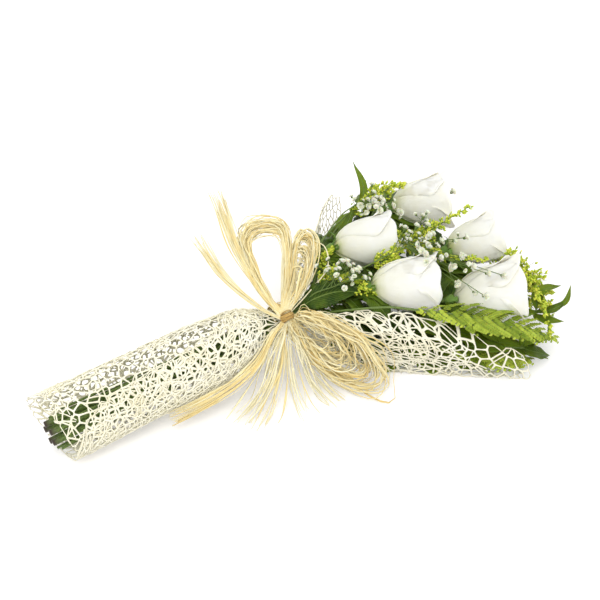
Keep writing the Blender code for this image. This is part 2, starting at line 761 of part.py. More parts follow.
clear_scene()
part = new_collection(OBJECT_NAME)
cutters = new_collection("cutters")
rose_stem_skin = new_material("rose_stem_skin", (0.06, 0.13, 0.03), 0.6)
rose_petal_skin = new_material("rose_petal_skin", (0.88, 0.87, 0.78), 0.55)
fern_skin = new_material("fern_skin", (0.14, 0.33, 0.03), 0.5)
leaf_skin = new_material("leaf_skin", (0.05, 0.14, 0.03), 0.4)
solidago_skin = new_material("solidago_skin", (0.45, 0.52, 0.04), 0.7)
gypsophila_skin = new_material("gypsophila_skin", (0.80, 0.82, 0.70), 0.7)
net_fibre = new_material("net_fibre", (0.83, 0.80, 0.68), 0.8)
raffia_fibre = new_material("raffia_fibre", (0.72, 0.55, 0.27), 0.6)

roses()
fern_fronds()
ruscus_sprigs()
solidago_sprays()
gypsophila_sprays()
rose_leaves()
stem_tie()
net_wrap()
raffia_knot()
raffia_bow()
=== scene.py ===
"""The looks of a bouquet of five white roses in a roll of cream net with a raffia bow.

Shapes are worked out in millimetres, along and across from the middle of the binding at the waist
and up from the table, and turned into metres when a piece is made. The flowers lie toward +X, the
cut ends toward -X, and the bow looks toward -Y.
"""

import math

import bpy
import numpy as np
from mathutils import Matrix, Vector
from mathutils.geometry import delaunay_2d_cdt


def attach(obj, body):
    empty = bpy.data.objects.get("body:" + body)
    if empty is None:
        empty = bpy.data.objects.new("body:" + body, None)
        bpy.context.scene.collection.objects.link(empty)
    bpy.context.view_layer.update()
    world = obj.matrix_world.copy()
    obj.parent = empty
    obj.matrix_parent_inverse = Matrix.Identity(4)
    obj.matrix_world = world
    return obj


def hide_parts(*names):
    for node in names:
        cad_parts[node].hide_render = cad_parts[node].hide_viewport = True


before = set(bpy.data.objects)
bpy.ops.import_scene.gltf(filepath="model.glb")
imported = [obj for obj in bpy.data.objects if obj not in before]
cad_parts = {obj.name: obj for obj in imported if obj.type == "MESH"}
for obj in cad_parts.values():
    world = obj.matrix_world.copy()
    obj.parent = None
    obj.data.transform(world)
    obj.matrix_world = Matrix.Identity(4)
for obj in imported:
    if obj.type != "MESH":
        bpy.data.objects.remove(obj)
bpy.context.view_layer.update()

MM = 0.001
WAIST = np.array((0.0054, 0.0056, 0.0))  # the binding's place over the table, in metres
WAIST_HEIGHT = 45.0
UP = np.array((0.0, 0.0, 1.0))


# Curves

def unit(v):
    v = np.asarray(v, float)
    return v / np.maximum(np.linalg.norm(v, axis=-1, keepdims=True), 1e-9)


def ease(t):
    t = np.clip(t, 0.0, 1.0)
    return t * t * (3 - 2 * t)


def blend(low, high, t):
    return low + (high - low) * t


def lookup(table, x):
    """The value at x from a table of (x, value) rows."""
    return np.interp(x, *np.array(table, float).T)


def together(*parts):
    """Arrays joined as the coordinates of points."""
    return np.stack(np.broadcast_arrays(*parts), -1)


def distances(path):
    """How far along the path each of its points is."""
    return np.concatenate([[0], np.cumsum(np.linalg.norm(np.diff(path, axis=0), axis=1))])


def smooth_path(points, count, before=None):
    """count points evenly spaced along a smooth curve through points, which comes from before."""
    points = np.asarray(points, float)
    first = 2 * points[0] - points[1] if before is None else np.asarray(before, float)
    ends = np.vstack([first, points, 2 * points[-1] - points[-2]])
    t = np.linspace(0, 1, 16, endpoint=False)[:, None]
    dense = []
    for a, b, c, d in zip(ends, ends[1:], ends[2:], ends[3:]):
        reach = np.linalg.norm(c - b)
        start = unit(c - a) * reach
        finish = unit(d - b) * reach
        dense.append(
            b * (2 * t**3 - 3 * t**2 + 1) + start * (t**3 - 2 * t**2 + t)
            + c * (3 * t**2 - 2 * t**3) + finish * (t**3 - t**2)
        )
    return even(np.vstack(dense + [points[-1:]]), count)


def even(line, count):
    """The line resampled at count even steps of length."""
    run = distances(line)
    wanted = np.linspace(0, run[-1], count)
    return together(*(np.interp(wanted, run, line[:, i]) for i in range(3)))


def axes_along(path, look):
    """Directions across and through a strip along path that looks along look."""
    ahead = unit(np.gradient(path, axis=0))
    across = unit(np.cross(look, ahead))
    return across, np.cross(ahead, across)


def carried_axes(path, look):
    """The same, with look carried along the path without twist."""
    ahead = unit(np.gradient(path, axis=0))
    through = []
    last = np.asarray(look, float)
    for direction in ahead:
        last = unit(last - direction * last.dot(direction))
        through.append(last)
    through = np.array(through)
    return np.cross(through, ahead), through


# Shapes

def grid_faces(rows, columns, closed=False):
    """The quads of a grid of points, whose columns close into a ring where closed is true."""
    i = np.arange(rows - 1)[:, None] * columns
    j = np.arange(columns if closed else columns - 1)[None]
    k = (j + 1) % columns
    return together(i + j, i + k, i + columns + k, i + columns + j).reshape(-1, 4)


class Shape:
    """The faces of one piece, each point with a place on its surface and a tone."""

    def __init__(self):
        self.points = []
        self.faces = []
        self.places = []
        self.tones = []
        self.skins = []
        self.count = 0

    def add(self, points, faces, places, tone=0.5, skin=0):
        points = points.reshape(-1, 3)
        self.points.append(points)
        self.faces.append(faces + self.count)
        self.places.append(places.reshape(-1, 2))
        self.tones.append(np.broadcast_to(np.asarray(tone, float), (len(points),)))
        self.skins.append(np.full(len(faces), skin))
        self.count += len(points)

    def join(self, faces, skin=0):
        """More faces between the points that were added last."""
        self.faces.append(faces + self.count - len(self.points[-1]))
        self.skins.append(np.full(len(faces), skin))

    def make(self, name, skins, slot, nodes, thickness=0.0):
        """The piece as an object that stands for nodes. thickness is added on both sides."""
        points = np.vstack(self.points) * MM + WAIST
        faces = [face for block in self.faces for face in block.tolist()]
        mesh = bpy.data.meshes.new(name)
        mesh.from_pydata(points.tolist(), [], faces)
        for skin in skins:
            mesh.materials.append(skin)
        mesh.polygons.foreach_set("material_index", np.concatenate(self.skins))
        corner = np.zeros(len(mesh.loops), int)
        mesh.loops.foreach_get("vertex_index", corner)
        places = mesh.uv_layers.new(name="place")
        places.data.foreach_set("uv", np.vstack(self.places)[corner].ravel())
        tone = mesh.attributes.new("tone", "FLOAT", "POINT")
        tone.data.foreach_set("value", np.concatenate(self.tones))
        mesh.shade_smooth()
        mesh.update()
        piece = bpy.data.objects.new(name, mesh)
        bpy.context.scene.collection.objects.link(piece)
        if thickness:
            sheet = piece.modifiers.new("thickness", "SOLIDIFY")
            sheet.thickness = thickness * MM
            sheet.offset = 0
        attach(piece, "root")
        if nodes:
            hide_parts(*nodes)
        return piece

    def make_for(self, node, ending, skins, slot, thickness=0.0):
        """The piece that stands for one node and is named after it."""
        self.make(f"{node}_{ending}", skins, slot, [node], thickness)


def tube(shape, path, radius, sides, look=UP, tone=0.5, skin=0, flat=1.0):
    """A closed round or flattened tube along path, with a radius and a tone for each point."""
    path = np.asarray(path, float)
    radius = np.broadcast_to(np.asarray(radius, float), (len(path),))
    across, through = carried_axes(path, look)
    turn = np.arange(sides) * 2 * math.pi / sides
    ring = across[:, None] * np.cos(turn)[None, :, None]
    ring = ring + through[:, None] * np.sin(turn)[None, :, None] * flat
    points = (path[:, None] + ring * radius[:, None, None]).reshape(-1, 3)
    points = np.vstack([points, path[:1], path[-1:]])
    last = (len(path) - 1) * sides
    k = np.arange(sides)
    after = (k + 1) % sides
    run = distances(path) / 100
    places = together(k[None] / sides, run[:, None]).reshape(-1, 2)
    places = np.vstack([places, (0.5, 0.0), (0.5, run[-1])])
    tones = np.broadcast_to(np.asarray(tone, float), (len(path),))
    tones = np.concatenate([np.repeat(tones, sides), tones[:1], tones[-1:]])
    shape.add(points, grid_faces(len(path), sides, closed=True), places, tones, skin)
    shape.join(together(after, k, len(points) - 2), skin)
    shape.join(together(last + k, last + after, len(points) - 1), skin)


def strip(shape, path, width, look, tone, columns, fold, wave=0.0, teeth=0.0, every=3, skin=0):
    """A leaf-like strip along path: width for each point, folded up beside its middle line, its
    edge waved, and cut into teeth of every points."""
    path = np.asarray(path, float)
    count = len(path)
    half = np.broadcast_to(np.asarray(width, float), (count,)) / 2
    steps = np.arange(count)
    half = half * (1 - teeth * (steps % every) / every)
    across, through = axes_along(path, look)
    u = np.linspace(-1, 1, columns + 1)
    out = half[:, None] * u[None]
    lift = fold * np.abs(out) + wave * half[:, None] * u[None] ** 2 * np.sin(steps * 0.9)[:, None]
    points = path[:, None] + across[:, None] * out[..., None] + through[:, None] * lift[..., None]
    places = together((u[None] + 1) / 2, steps[:, None] / (count - 1))
    shape.add(points, grid_faces(count, columns + 1), places, tone, skin)


# Materials

CLOUD = (0.3, 0.7)  # between these lies most of a noise


class Skin:
    """A material built round one Principled shader."""

    def __init__(self, name, roughness, **sockets):
        self.material = bpy.data.materials.new(name)
        self.material.use_nodes = True
        self.tree = self.material.node_tree
        self.shader = self.tree.nodes["Principled BSDF"]
        self.shader.inputs["Roughness"].default_value = roughness
        for socket, value in sockets.items():
            self.shader.inputs[socket.replace("_", " ")].default_value = value

    def plug(self, node, key, value):
        """Links a socket into the node's input, or sets the input to a number or a colour."""
        if isinstance(value, bpy.types.NodeSocket):
            self.tree.links.new(value, node.inputs[key])
        elif node.inputs[key].type == "RGBA":
            node.inputs[key].default_value = (*value, 1)
        else:
            node.inputs[key].default_value = value

    def node(self, kind, inputs=(), **settings):
        made = self.tree.nodes.new(f"ShaderNode{kind}")
        for key, value in settings.items():
            setattr(made, key, value)
        for key, value in dict(inputs).items():
            self.plug(made, key, value)
        return made

    def place(self):
        """The surface's own coordinates, across and along."""
        return self.node("UVMap", uv_map="place").outputs["UV"]

    def noise(self, scale, detail=3.0, roughness=0.55, stretch=None):
        """A noise in space, or on the surface's own coordinates stretched by stretch."""
        if stretch is None:
            where = self.node("TexCoord").outputs["Object"]
        else:
            where = self.node("Mapping", {"Vector": self.place(), "Scale": stretch}).outputs[0]
        inputs = {"Vector": where, "Scale": scale, "Detail": detail, "Roughness": roughness}
        return self.node("TexNoise", inputs).outputs["Fac"]

    def math(self, operation, a, b=0.0):
        return self.node("Math", {0: a, 1: b}, operation=operation).outputs[0]

    def spread(self, value, low, high, to_low=0.0, to_high=1.0):
        """The value with its range from low to high stretched to another range."""
        inputs = {0: value, 1: low, 2: high, 3: to_low, 4: to_high}
        return self.node("MapRange", inputs).outputs[0]

    def tone(self, cloud=None, reach=0.0):
        """The tone of the points, made uneven by a noise."""
        own = self.node("Attribute", attribute_name="tone").outputs["Fac"]
        if cloud is None:
            return own
        return self.math("ADD", own, self.spread(cloud, *CLOUD, -reach, reach))

    def ramp(self, value, *stops):
        made = self.node("ValToRGB", {"Fac": value})
        stop_list = made.color_ramp.elements
        while len(stop_list) < len(stops):
            stop_list.new(0.5)
        for stop, (position, colour) in zip(stop_list, stops):
            stop.position = position
            stop.color = (*colour, 1)
        return made.outputs["Color"]

    def mix(self, factor, a, b, blend_type="MIX"):
        inputs = {0: factor, 6: a, 7: b}
        return self.node("Mix", inputs, data_type="RGBA", blend_type=blend_type).outputs[2]

    def finish(self, colour, cloud, rough):
        """The colour, and a roughness from one value to another by a noise."""
        self.plug(self.shader, "Base Color", colour)
        self.plug(self.shader, "Roughness", self.spread(cloud, *CLOUD, *rough))
        return self.material

    def bump(self, height, distance, strength):
        """Relief of that depth in metres, on top of any that is already there."""
        inputs = {"Height": height, "Distance": distance, "Strength": strength}
        linked = self.shader.inputs["Normal"].links
        if linked:
            inputs["Normal"] = linked[0].from_socket
        made = self.node("Bump", inputs)
        self.plug(self.shader, "Normal", made.outputs["Normal"])


def petal_skin():
    """Warm white, greener toward the petal's foot, partly its own tint and partly a painted
    reflection of the goldenrod, with fine veins along it.
    """
    skin = Skin(
        "rose_petal_skin", 0.5, Subsurface_Weight=0.35, Subsurface_Scale=0.004,
        Subsurface_Radius=(1.0, 0.85, 0.55), Sheen_Weight=0.15, Specular_IOR_Level=0.35,
    )
    cloud = skin.noise(55.0, 4.0)
    _, along, _ = skin.node("SeparateXYZ", {0: skin.place()}).outputs
    up = skin.math("ADD", along, skin.spread(cloud, *CLOUD, -0.06, 0.06))
    # The yellow-green at the foot is the rose's own green base, and partly a painted reflection of
    # the goldenrod.
    foot = skin.ramp(
        up, (0.0, (0.62, 0.67, 0.26)), (0.09, (0.85, 0.84, 0.56)), (0.24, (0.93, 0.91, 0.73)),
        (0.60, (0.945, 0.93, 0.82)), (1.0, (0.945, 0.935, 0.86)),
    )
    shade = skin.ramp(cloud, (0.30, (0.96, 0.95, 0.92)), (0.65, (1.0, 1.0, 1.0)))
    veins = skin.noise(1.0, 4.0, 0.6, (46, 2.2, 1))
    skin.bump(veins, 0.00035, 0.55)
    skin.bump(skin.noise(1.0, 2.0, stretch=(5, 4, 1)), 0.0012, 0.5)
    return skin.finish(skin.mix(1.0, foot, shade, "MULTIPLY"), veins, (0.42, 0.58))


def net_skin():
    """Stiff cream paper fibre, paler on its ridges."""
    skin = Skin("net_skin", 0.75, Sheen_Weight=0.2, Specular_IOR_Level=0.3)
    cloud = skin.noise(40.0)
    fibre = skin.noise(1500.0, 2.0)
    base = skin.ramp(
        cloud, (0.3, (0.86, 0.82, 0.62)), (0.55, (0.90, 0.87, 0.71)), (0.75, (0.91, 0.89, 0.77)),
    )
    skin.bump(fibre, 0.0004, 0.5)
    colour = skin.mix(skin.spread(fibre, 0.35, 0.75, 0.0, 0.22), base, (0.66, 0.60, 0.40))
    return skin.finish(colour, fibre, (0.62, 0.85))


def raffia_skin():
    """Dry palm fibre, each strand of its own tone, from cream to golden brown, streaked along."""
    skin = Skin("raffia_skin", 0.55, Specular_IOR_Level=0.45, Sheen_Weight=0.1)
    streak = skin.noise(1.0, 4.0, 0.65, (26, 1.4, 1))
    patch = skin.noise(1.0, 2.0, stretch=(1.5, 3.0, 1))
    tone = skin.math("ADD", skin.tone(patch, 0.08), skin.spread(streak, 0.25, 0.75, -0.14, 0.14))
    colour = skin.ramp(
        tone, (0.0, (0.92, 0.87, 0.62)), (0.30, (0.92, 0.80, 0.43)), (0.56, (0.85, 0.65, 0.24)),
        (0.80, (0.58, 0.37, 0.10)), (1.0, (0.24, 0.13, 0.03)),
    )
    skin.bump(streak, 0.0005, 0.8)
    return skin.finish(colour, streak, (0.42, 0.68))


def leaf_skin(name, dark, light, vein, roughness, ribs=16.0):
    """A leaf with a pale middle vein and side veins, from dark to light by its tone."""
    skin = Skin(name, roughness, Specular_IOR_Level=0.16, Subsurface_Weight=0.08,
                Subsurface_Scale=0.002)
    across, along, _ = skin.node("SeparateXYZ", {0: skin.place()}).outputs
    beside = skin.math("ABSOLUTE", skin.math("SUBTRACT", across, 0.5))
    rib_turn = skin.math("SUBTRACT", along, skin.math("MULTIPLY", beside, 0.55))
    rib = skin.math("SINE", skin.math("MULTIPLY", rib_turn, ribs * 2 * math.pi))
    rib = skin.math("MULTIPLY", skin.spread(rib, 0.72, 1.0), 0.45)
    veins = skin.math("MAXIMUM", rib, skin.spread(beside, 0.035, 0.01))
    cloud = skin.noise(70.0, 4.0)
    base = skin.mix(skin.spread(skin.tone(cloud, 0.25), 0.0, 1.0), dark, light)
    skin.bump(veins, 0.0004, 0.6)
    skin.bump(skin.noise(420.0), 0.0004, 0.35)
    colour = skin.mix(skin.math("MULTIPLY", veins, 0.6), base, vein)
    return skin.finish(colour, cloud, (roughness - 0.07, roughness + 0.12))


def stem_skin():
    """Green bark with pale flecks, brown where tone is high."""
    skin = Skin("stem_skin", 0.5)
    fleck = skin.noise(3.0, 4.0, stretch=(3, 9, 1))
    green = skin.ramp(fleck, (0.30, (0.05, 0.085, 0.014)), (0.55, (0.12, 0.19, 0.03)),
                      (0.75, (0.24, 0.32, 0.08)))
    skin.bump(skin.noise(1.0, stretch=(16, 3, 1)), 0.0005, 0.5)
    brown = skin.spread(skin.tone(), 0.5, 1.0)
    return skin.finish(skin.mix(brown, green, (0.035, 0.018, 0.012)), fleck, (0.42, 0.62))


def floret_skin(name, dark, middle, light, scale, roughness):
    """Small flowers of many tones."""
    skin = Skin(name, roughness, Subsurface_Weight=0.15, Subsurface_Scale=0.001)
    cloud = skin.noise(scale)
    skin.bump(cloud, 0.0006, 0.5)
    colour = skin.ramp(skin.tone(cloud, 0.2), (0.0, dark), (0.5, middle), (1.0, light))
    return skin.finish(colour, cloud, (roughness - 0.1, roughness + 0.1))


PETAL = petal_skin()
NET = net_skin()
RAFFIA = raffia_skin()
FERN = leaf_skin(
    "fern_skin", (0.11, 0.19, 0.007), (0.52, 0.63, 0.07), (0.55, 0.64, 0.11), 0.42, 5.0)
LEAF = leaf_skin("leaf_skin", (0.018, 0.045, 0.003), (0.16, 0.25, 0.012), (0.22, 0.31, 0.05), 0.40)
STEM = stem_skin()
SEPAL = leaf_skin(
    "sepal_skin", (0.07, 0.16, 0.02), (0.22, 0.36, 0.08), (0.3, 0.42, 0.15), 0.45, 4.0)
SOLIDAGO = floret_skin(
    "solidago_skin", (0.17, 0.30, 0.01), (0.46, 0.57, 0.025), (0.78, 0.79, 0.10), 300.0, 0.6)
GYPSOPHILA = floret_skin(
    "gypsophila_skin", (0.62, 0.68, 0.34), (0.89, 0.90, 0.74), (0.94, 0.94, 0.87), 400.0, 0.55)


# The bound stems

CUT_END = 246.0  # how far behind the waist the roses are cut
CUT_END_SPREAD = 1.05  # how much wider the bundle is there
CUT_END_DROP = 15.0  # and how much lower
FAN_RATE = 0.025  # how the bundle widens toward the flowers
TIE_AT = -17.5  # where the twine is
BAND_AT = -8.5  # where the raffia band and the knot are
BOUND_AT = (-170.0, -90.0, -38.0, TIE_AT, BAND_AT, 14.0)
ROSE_RING = 4.5  # the stems stand in two rings at the waist
GREEN_RING = 8.2


def bundle_spot(x, across, up):
    """Where the stem that has its place (across, up) at the waist passes x, near or behind it."""
    back = max(-x, 0) / CUT_END
    spread = 1 + CUT_END_SPREAD * back**1.3 + FAN_RATE * max(x, 0)
    height = WAIST_HEIGHT - CUT_END_DROP * back
    return np.array((x, across * spread, height + up * spread))


def stem_path(angle, ring, end, passes, count):
    """A stem from its cut end, through its place in the ring, to the last of passes."""
    turn = math.radians(angle)
    place = (ring * math.cos(turn), ring * math.sin(turn))
    bound = [bundle_spot(x, *place) for x in (-end, *BOUND_AT)]
    free = smooth_path([bound[-1], *passes], count, before=bound[-2])
    return np.vstack([smooth_path(bound, 40), free[1:]])


# Roses

# Each rose: angle of its stem at the waist, points its stem passes, foot, yaw and pitch of its
# head, size, how far its mouth has spread, and its outer petals. Each of those has an angle round
# the head from its front, a span, a height, its tip's height over its shoulders and how far that
# rolls back.
ROUND = ((180, 2, 0.94, 0.05, 3), (120, 2, 0.95, 0.06, 4), (-120, 2, 0.95, 0.06, 3),
         (76, 2.2, 0.99, 0.08, 5))
ROSES = (
    (54, ((38, 15, 56),), (74.2, 37, 65.5), -20, 2, 1, 1.5, (
        (180, 2, 0.93, 0.05, 3), (124, 2, 0.95, 0.07, 5), (-124, 2.1, 0.95, 0.07, 4),
        (86, 2.3, 1, 0.09, 6), (-74, 2.3, 0.98, 0.07, 4.5), (-2, 2.4, 0.95, -0.04, 3.5),
    )),
    (126, ((38, -14, 54),), (75.5, -24.5, 64), -26, 0, 1.05, 1.5, (
        (180, 2, 0.93, 0.05, 2), (128, 2.1, 0.95, 0.07, 4), (-122, 2, 0.95, 0.07, 4),
        (-84, 2.3, 1.05, 0.12, 5), (80, 2.4, 1.06, 0.12, 6.5), (2, 2.4, 0.95, -0.05, 2.5),
    )),
    (342, ((60, 18, 38), (112, 46, 44)), (157, 60, 61.5), -24, 5, 0.98, 3, (
        *ROUND, (-72, 2.2, 0.98, 0.07, 4.5), (0, 2.3, 0.93, -0.03, 3),
    )),
    (270, ((60, -3, 38), (120, -12, 41)), (171, -15, 56), -14, 6, 0.90, 3, (
        *ROUND, (-70, 2.2, 0.98, 0.07, 4.5), (4, 2.3, 0.93, -0.03, 3),
    )),
    (198, ((55, -28, 33), (104, -62, 30)), (140, -69, 51.5), -25, 4, 1.09, 7, (
        (180, 2, 0.92, 0.05, 3), (122, 2.1, 0.93, 0.07, 4), (-124, 2, 0.93, 0.05, 3),
        (-78, 2.4, 1, 0.08, 4), (80, 2.5, 0.97, 0.06, 5), (2, 2.4, 0.93, -0.05, 2.5),
    )),
)
HEAD_LENGTH = 62.0
# Over the height: the head's radius, and the width of a petal against its widest.
HEAD_BELLY = ((0.0, 4.5), (0.05, 9.5), (0.14, 15.4), (0.28, 20.0), (0.45, 22.8), (0.62, 23.8),
              (0.80, 23.0), (1.0, 21.8))
PETAL_WIDTH = ((0.0, 0.42), (0.15, 0.62), (0.4, 0.88), (0.62, 1.0), (0.8, 0.98), (0.92, 0.86),
               (1.0, 0.76))
FRONT = np.array((-0.3734, -0.6005, 0.7071))  # from the flowers toward whoever looks at them
CALYX_LENGTH = 9.0
GOLDEN = math.radians(137.5)  # between one petal of the bud and the next
WHORL = 8  # petals in each of the bud's two whorls
PETAL_THICK = 0.35


def head_turn(yaw, pitch):
    """The turn whose Z runs along a head and whose X faces the front."""
    yaw, pitch = math.radians(yaw), math.radians(pitch)
    level = math.cos(pitch)
    along = np.array((level * math.cos(yaw), level * math.sin(yaw), math.sin(pitch)))
    front = unit(FRONT - along * FRONT.dot(along))
    return np.stack([front, np.cross(along, front), along], 1)


def petal(shape, turn, foot, size, rng, start, span, girth, height, flare, point, lean, spread):
    """One petal round the head's axis. girth is its distance from the axis against the head's
    belly, flare how far its tip rolls out, point the tip's height over its shoulders, lean lifts
    one side edge over the other, and spread opens the mouth."""
    rows, columns = 17, 13
    v = np.linspace(0, 1, rows)[:, None]
    u = np.linspace(-1, 1, columns)[None]
    phase = rng.uniform(0, 2 * math.pi, 4)
    half = span / 2 * lookup(PETAL_WIDTH, v)
    angle = start + u * half + 0.04 * np.sin(2.5 * u + phase[0]) * v
    # The lip: shoulders drop away from a soft point, and its edge waves a little.
    shoulder = (0.10 * np.abs(u) ** 3 + point * np.abs(u) ** 1.15) * ease((v - 0.45) / 0.55)
    wave = 0.010 * np.sin(6 * u + phase[1]) * ease((v - 0.7) / 0.3)
    level = v * height - shoulder + wave
    belly = lookup(HEAD_BELLY, np.clip(level / height, 0, 1))
    radius = belly * girth + lean * (u + 1) / 2 * ease(v / 0.3) + spread * girth * v**2.5
    lip = np.clip((v - 0.72) / 0.28, 0, 1)
    corner = np.abs(u) ** 4 * ease((v - 0.4) / 0.5)
    radius = radius + flare * (lip**2 * (1.0 - 0.35 * u**2) + 0.30 * corner)
    radius = radius + 0.35 * np.sin(3.2 * u + phase[2]) * np.sin(4.0 * v + phase[3]) * (0.3 + v)
    z = (level - 0.010 * max(flare - 2, 0) * lip**2.5) * HEAD_LENGTH
    points = together(radius * np.cos(angle), radius * np.sin(angle), z) * size
    points = points.reshape(-1, 3) @ turn.T + foot
    shape.add(points, grid_faces(rows, columns), together((u + 1) / 2, v))


def sepals(shape, turn, foot, size, rng):
    """The calyx cup and its five narrow leaves, which have bent back from the flower."""
    cup = np.array([(0, 0, -CALYX_LENGTH), (0, 0, -6.2), (0, 0, -3.2), (0, 0, -0.6), (0, 0, 1.2)])
    tube(shape, cup @ turn.T + foot, (2.3, 4.1, 5.5, 5.4, 4.4), 12, look=turn[:, 0], skin=1)
    for k in range(5):
        angle = 2 * math.pi * k / 5 + rng.uniform(-0.2, 0.2)
        out = np.array((math.cos(angle), math.sin(angle), 0))
        droop = rng.uniform(-9, 3)
        line = [out * 4.6 + UP * -0.5, out * 8 * size + UP * 2.2,
                out * 13.5 * size + UP * (3.0 + 0.2 * droop), out * 18 * size + UP * droop]
        path = smooth_path(line, 12) @ turn.T + foot
        look = turn @ (out * -0.4 + UP)
        t = np.linspace(0, 1, 12)
        width = 5.4 * np.sin(math.pi * np.minimum(0.2 + 0.78 * t, 0.985)) ** 0.8
        strip(shape, path, width, look, rng.uniform(0.3, 0.8), 4, -0.25, skin=1)


def roses():
    """Each rose's head, its stem with thorns and sepals, and its own leaves."""
    for number, (angle, passes, foot, yaw, pitch, *bloom) in enumerate(ROSES, 1):
        name = f"rose_{number}"
        rng = np.random.default_rng(number * 7)
        turn, foot = head_turn(yaw, pitch), np.array(foot, float)
        rose_head(name, turn, foot, *bloom, rng)
        stem = Shape()
        calyx = turn[:, 2] * CALYX_LENGTH
        passes = [*passes, foot - calyx * 1.7, foot - calyx]
        path = stem_path(angle, ROSE_RING, CUT_END, passes, 44)
        x = path[:, 0]
        radius = blend(2.2, 2.9, np.clip(-x / CUT_END, 0, 1))
        for knot in rng.uniform(-220, 60, 5):
            radius = radius + 0.55 * np.exp(-((x - knot) / 3.0) ** 2)
        tube(stem, path, radius, 12, tone=0.4 + 0.6 * ease((-x - CUT_END + 9) / 6))
        ahead = unit(np.gradient(path, axis=0))
        for k in rng.integers(4, len(path) - 12, 7):
            side = unit(np.cross(ahead[k], rng.normal(size=3)))
            root = path[k] + side * (radius[k] - 0.4)
            thorn = [root, root + side * 1.4 - ahead[k] * 0.5, root + side * 3.0 - ahead[k] * 1.9]
            tube(stem, thorn, (1.5, 0.8, 0.08), 6, look=ahead[k], tone=0.66, flat=1.3)
        sepals(stem, turn, foot, bloom[0], rng)
        stem.make(f"{name}_stalk", [STEM, SEPAL], "rose_stem", [f"{name}_stem"])
        stem_leaves(name, path, foot, rng)


def rose_head(name, turn, foot, size, spread, outer, rng):
    """A bud of tight petals, wound one inside the other, and the outer petals round it."""
    head = Shape()
    at = (head, turn, foot, size, rng)
    for k in range(WHORL):
        petal(*at, GOLDEN * k, 2.9 - 0.1 * k, 0.14 + 0.072 * k, 0.88 - 0.006 * k, 0.4, 0.02, 1.6,
              spread * 0.3)
    for k in range(WHORL):
        petal(*at, GOLDEN * (k + WHORL) + 0.4, 2.4, 0.70 + 0.024 * k, 0.88 + 0.006 * k,
              0.8 + 0.3 * k, 0.04, 2.0, spread * 0.8)
    for k, (turned, span, height, point, flare) in enumerate(outer):
        petal(*at, math.radians(turned), span, 0.93 + 0.012 * k, height, flare, point, 1.2, spread)
    nodes = [f"{name}_heart"] + [f"{name}_petal_{k}" for k in range(1, 5)]
    head.make(f"{name}_head", [PETAL], "rose_petal", nodes, PETAL_THICK)


# Tips of leaves that fill the room between the flowers and behind the net.
FILLING = {
    "rose_1": ((85, 37, 42), (92, 62, 46), (67, 33, 45), (127, 30, 36), (118, 12, 44),
               (144, 6, 42)),
    "rose_2": ((75, -8, 42), (104, -14, 44), (124, -20, 36), (48, -50, 12), (60, -60, 8),
               (76, -72, 7), (92, -82, 8), (68, -52, 20)),
    "rose_3": ((154, 48, 34), (146, 20, 38), (166, 17, 34), (134, 44, 40), (186, 30, 36)),
    "rose_4": ((156, -17, 38), (148, -38, 36), (174, -10, 34), (189, -20, 34), (150, 2, 34),
               (168, -36, 40), (140, -24, 44), (186, 12, 40), (162, -50, 38),
               (182, -28, 43), (182, -54, 49), (176, -58, 45)),
    "rose_5": ((84, -64, 9), (100, -78, 7), (118, -92, 6), (136, -104, 6), (152, -114, 6),
               (168, -124, 7), (108, -70, 10), (128, -84, 9), (147, -52, 30), (110, -92, 14),
               (146, -44, 44), (156, -40, 40)),
}
# Leaves of rose_5 that lie on the table behind the net: a point of each midline, and its tip.
LYING = (
    ((45, -43, 7), (76, -64, 3)), ((62, -64, 5), (95, -82, 3)), ((84, -68, 6), (120, -87, 3)),
    ((98, -88, 4), (132, -104, 3)), ((114, -84, 8), (150, -104, 4)),
    ((130, -105, 4), (166, -122, 3)), ((56, -42, 12), (88, -56, 6)), ((38, -36, 9), (62, -54, 4)),
    ((120, -84, 26), (152, -102, 24)), ((140, -92, 24), (172, -114, 20)),
    ((172, -122, 18), (197, -146, 8)), ((152, -104, 16), (184, -134, 12)),
    ((150, -106, 24), (180, -134, 24)), ((138, -76, 34), (170, -92, 36)),
    ((150, -84, 32), (183, -104, 30)), ((160, -92, 28), (196, -112, 24)),
    ((164, -74, 32), (200, -84, 34)), ((112, -66, 36), (142, -84, 40)),
    ((170, -96, 18), (206, -116, 14)), ((188, -78, 38), (221, -90, 44)),
    ((186, -72, 40), (219, -70, 50)), ((184, -92, 30), (214, -114, 34)),
)
FILLING_REACH = (34, 0, 0)  # back from a tip to where its leaf grows from
LYING_REACH = (20, 0, 0)  # the same from the point of its midline
STEM_LEAVES = 13  # along each rose's stem
FAN_LEAVES = 7  # under its flower
LEAF_THICK = 0.3
CRIMPED = (0.14, 0.14, 4)  # a rose leaf's teeth, fold and columns


def stem_leaves(name, path, foot, rng):
    """The rose's own leaves: some along its stem and a few that fan out under its flower."""
    shape = Shape()
    free = np.flatnonzero((path[:, 0] > 46) & (path[:, 0] < foot[0] - 6))
    starts = [free[int((k + 0.5) / STEM_LEAVES * len(free))] for k in range(STEM_LEAVES)]
    starts += [free[-1 - k // 2] for k in range(FAN_LEAVES)]
    for k, start in enumerate(starts):
        at = path[start]
        under = k >= STEM_LEAVES
        turned = math.radians(rng.uniform(15, 75)) * (-1) ** k
        if under:
            turned = math.radians(-75 + 25 * (k - STEM_LEAVES) + rng.uniform(-8, 8))
        rise = rng.uniform(-0.25, 0.15) if under else rng.uniform(-0.35, 0.25)
        way = np.array((math.cos(turned), math.sin(turned), rise))
        tip = at + way * (rng.uniform(34, 46) if under else rng.uniform(26, 44))
        tip[2] = np.clip(tip[2], 8, 50)
        grow_leaf(shape, at, tip, rng)
    for tip in np.array(FILLING[name], float):
        grow_leaf(shape, on_path(path, tip - FILLING_REACH), tip, rng)
    for middle, tip in np.array(LYING, float) if name == "rose_5" else ():
        line = [on_path(path, middle - LYING_REACH), middle, (middle + tip) / 2, tip]
        leaf(shape, line, 23, UP, rng.uniform(0.8, 1.4), *CRIMPED)
    shape.make(f"{name}_leaves", [LEAF, STEM], "leaf", (), LEAF_THICK)


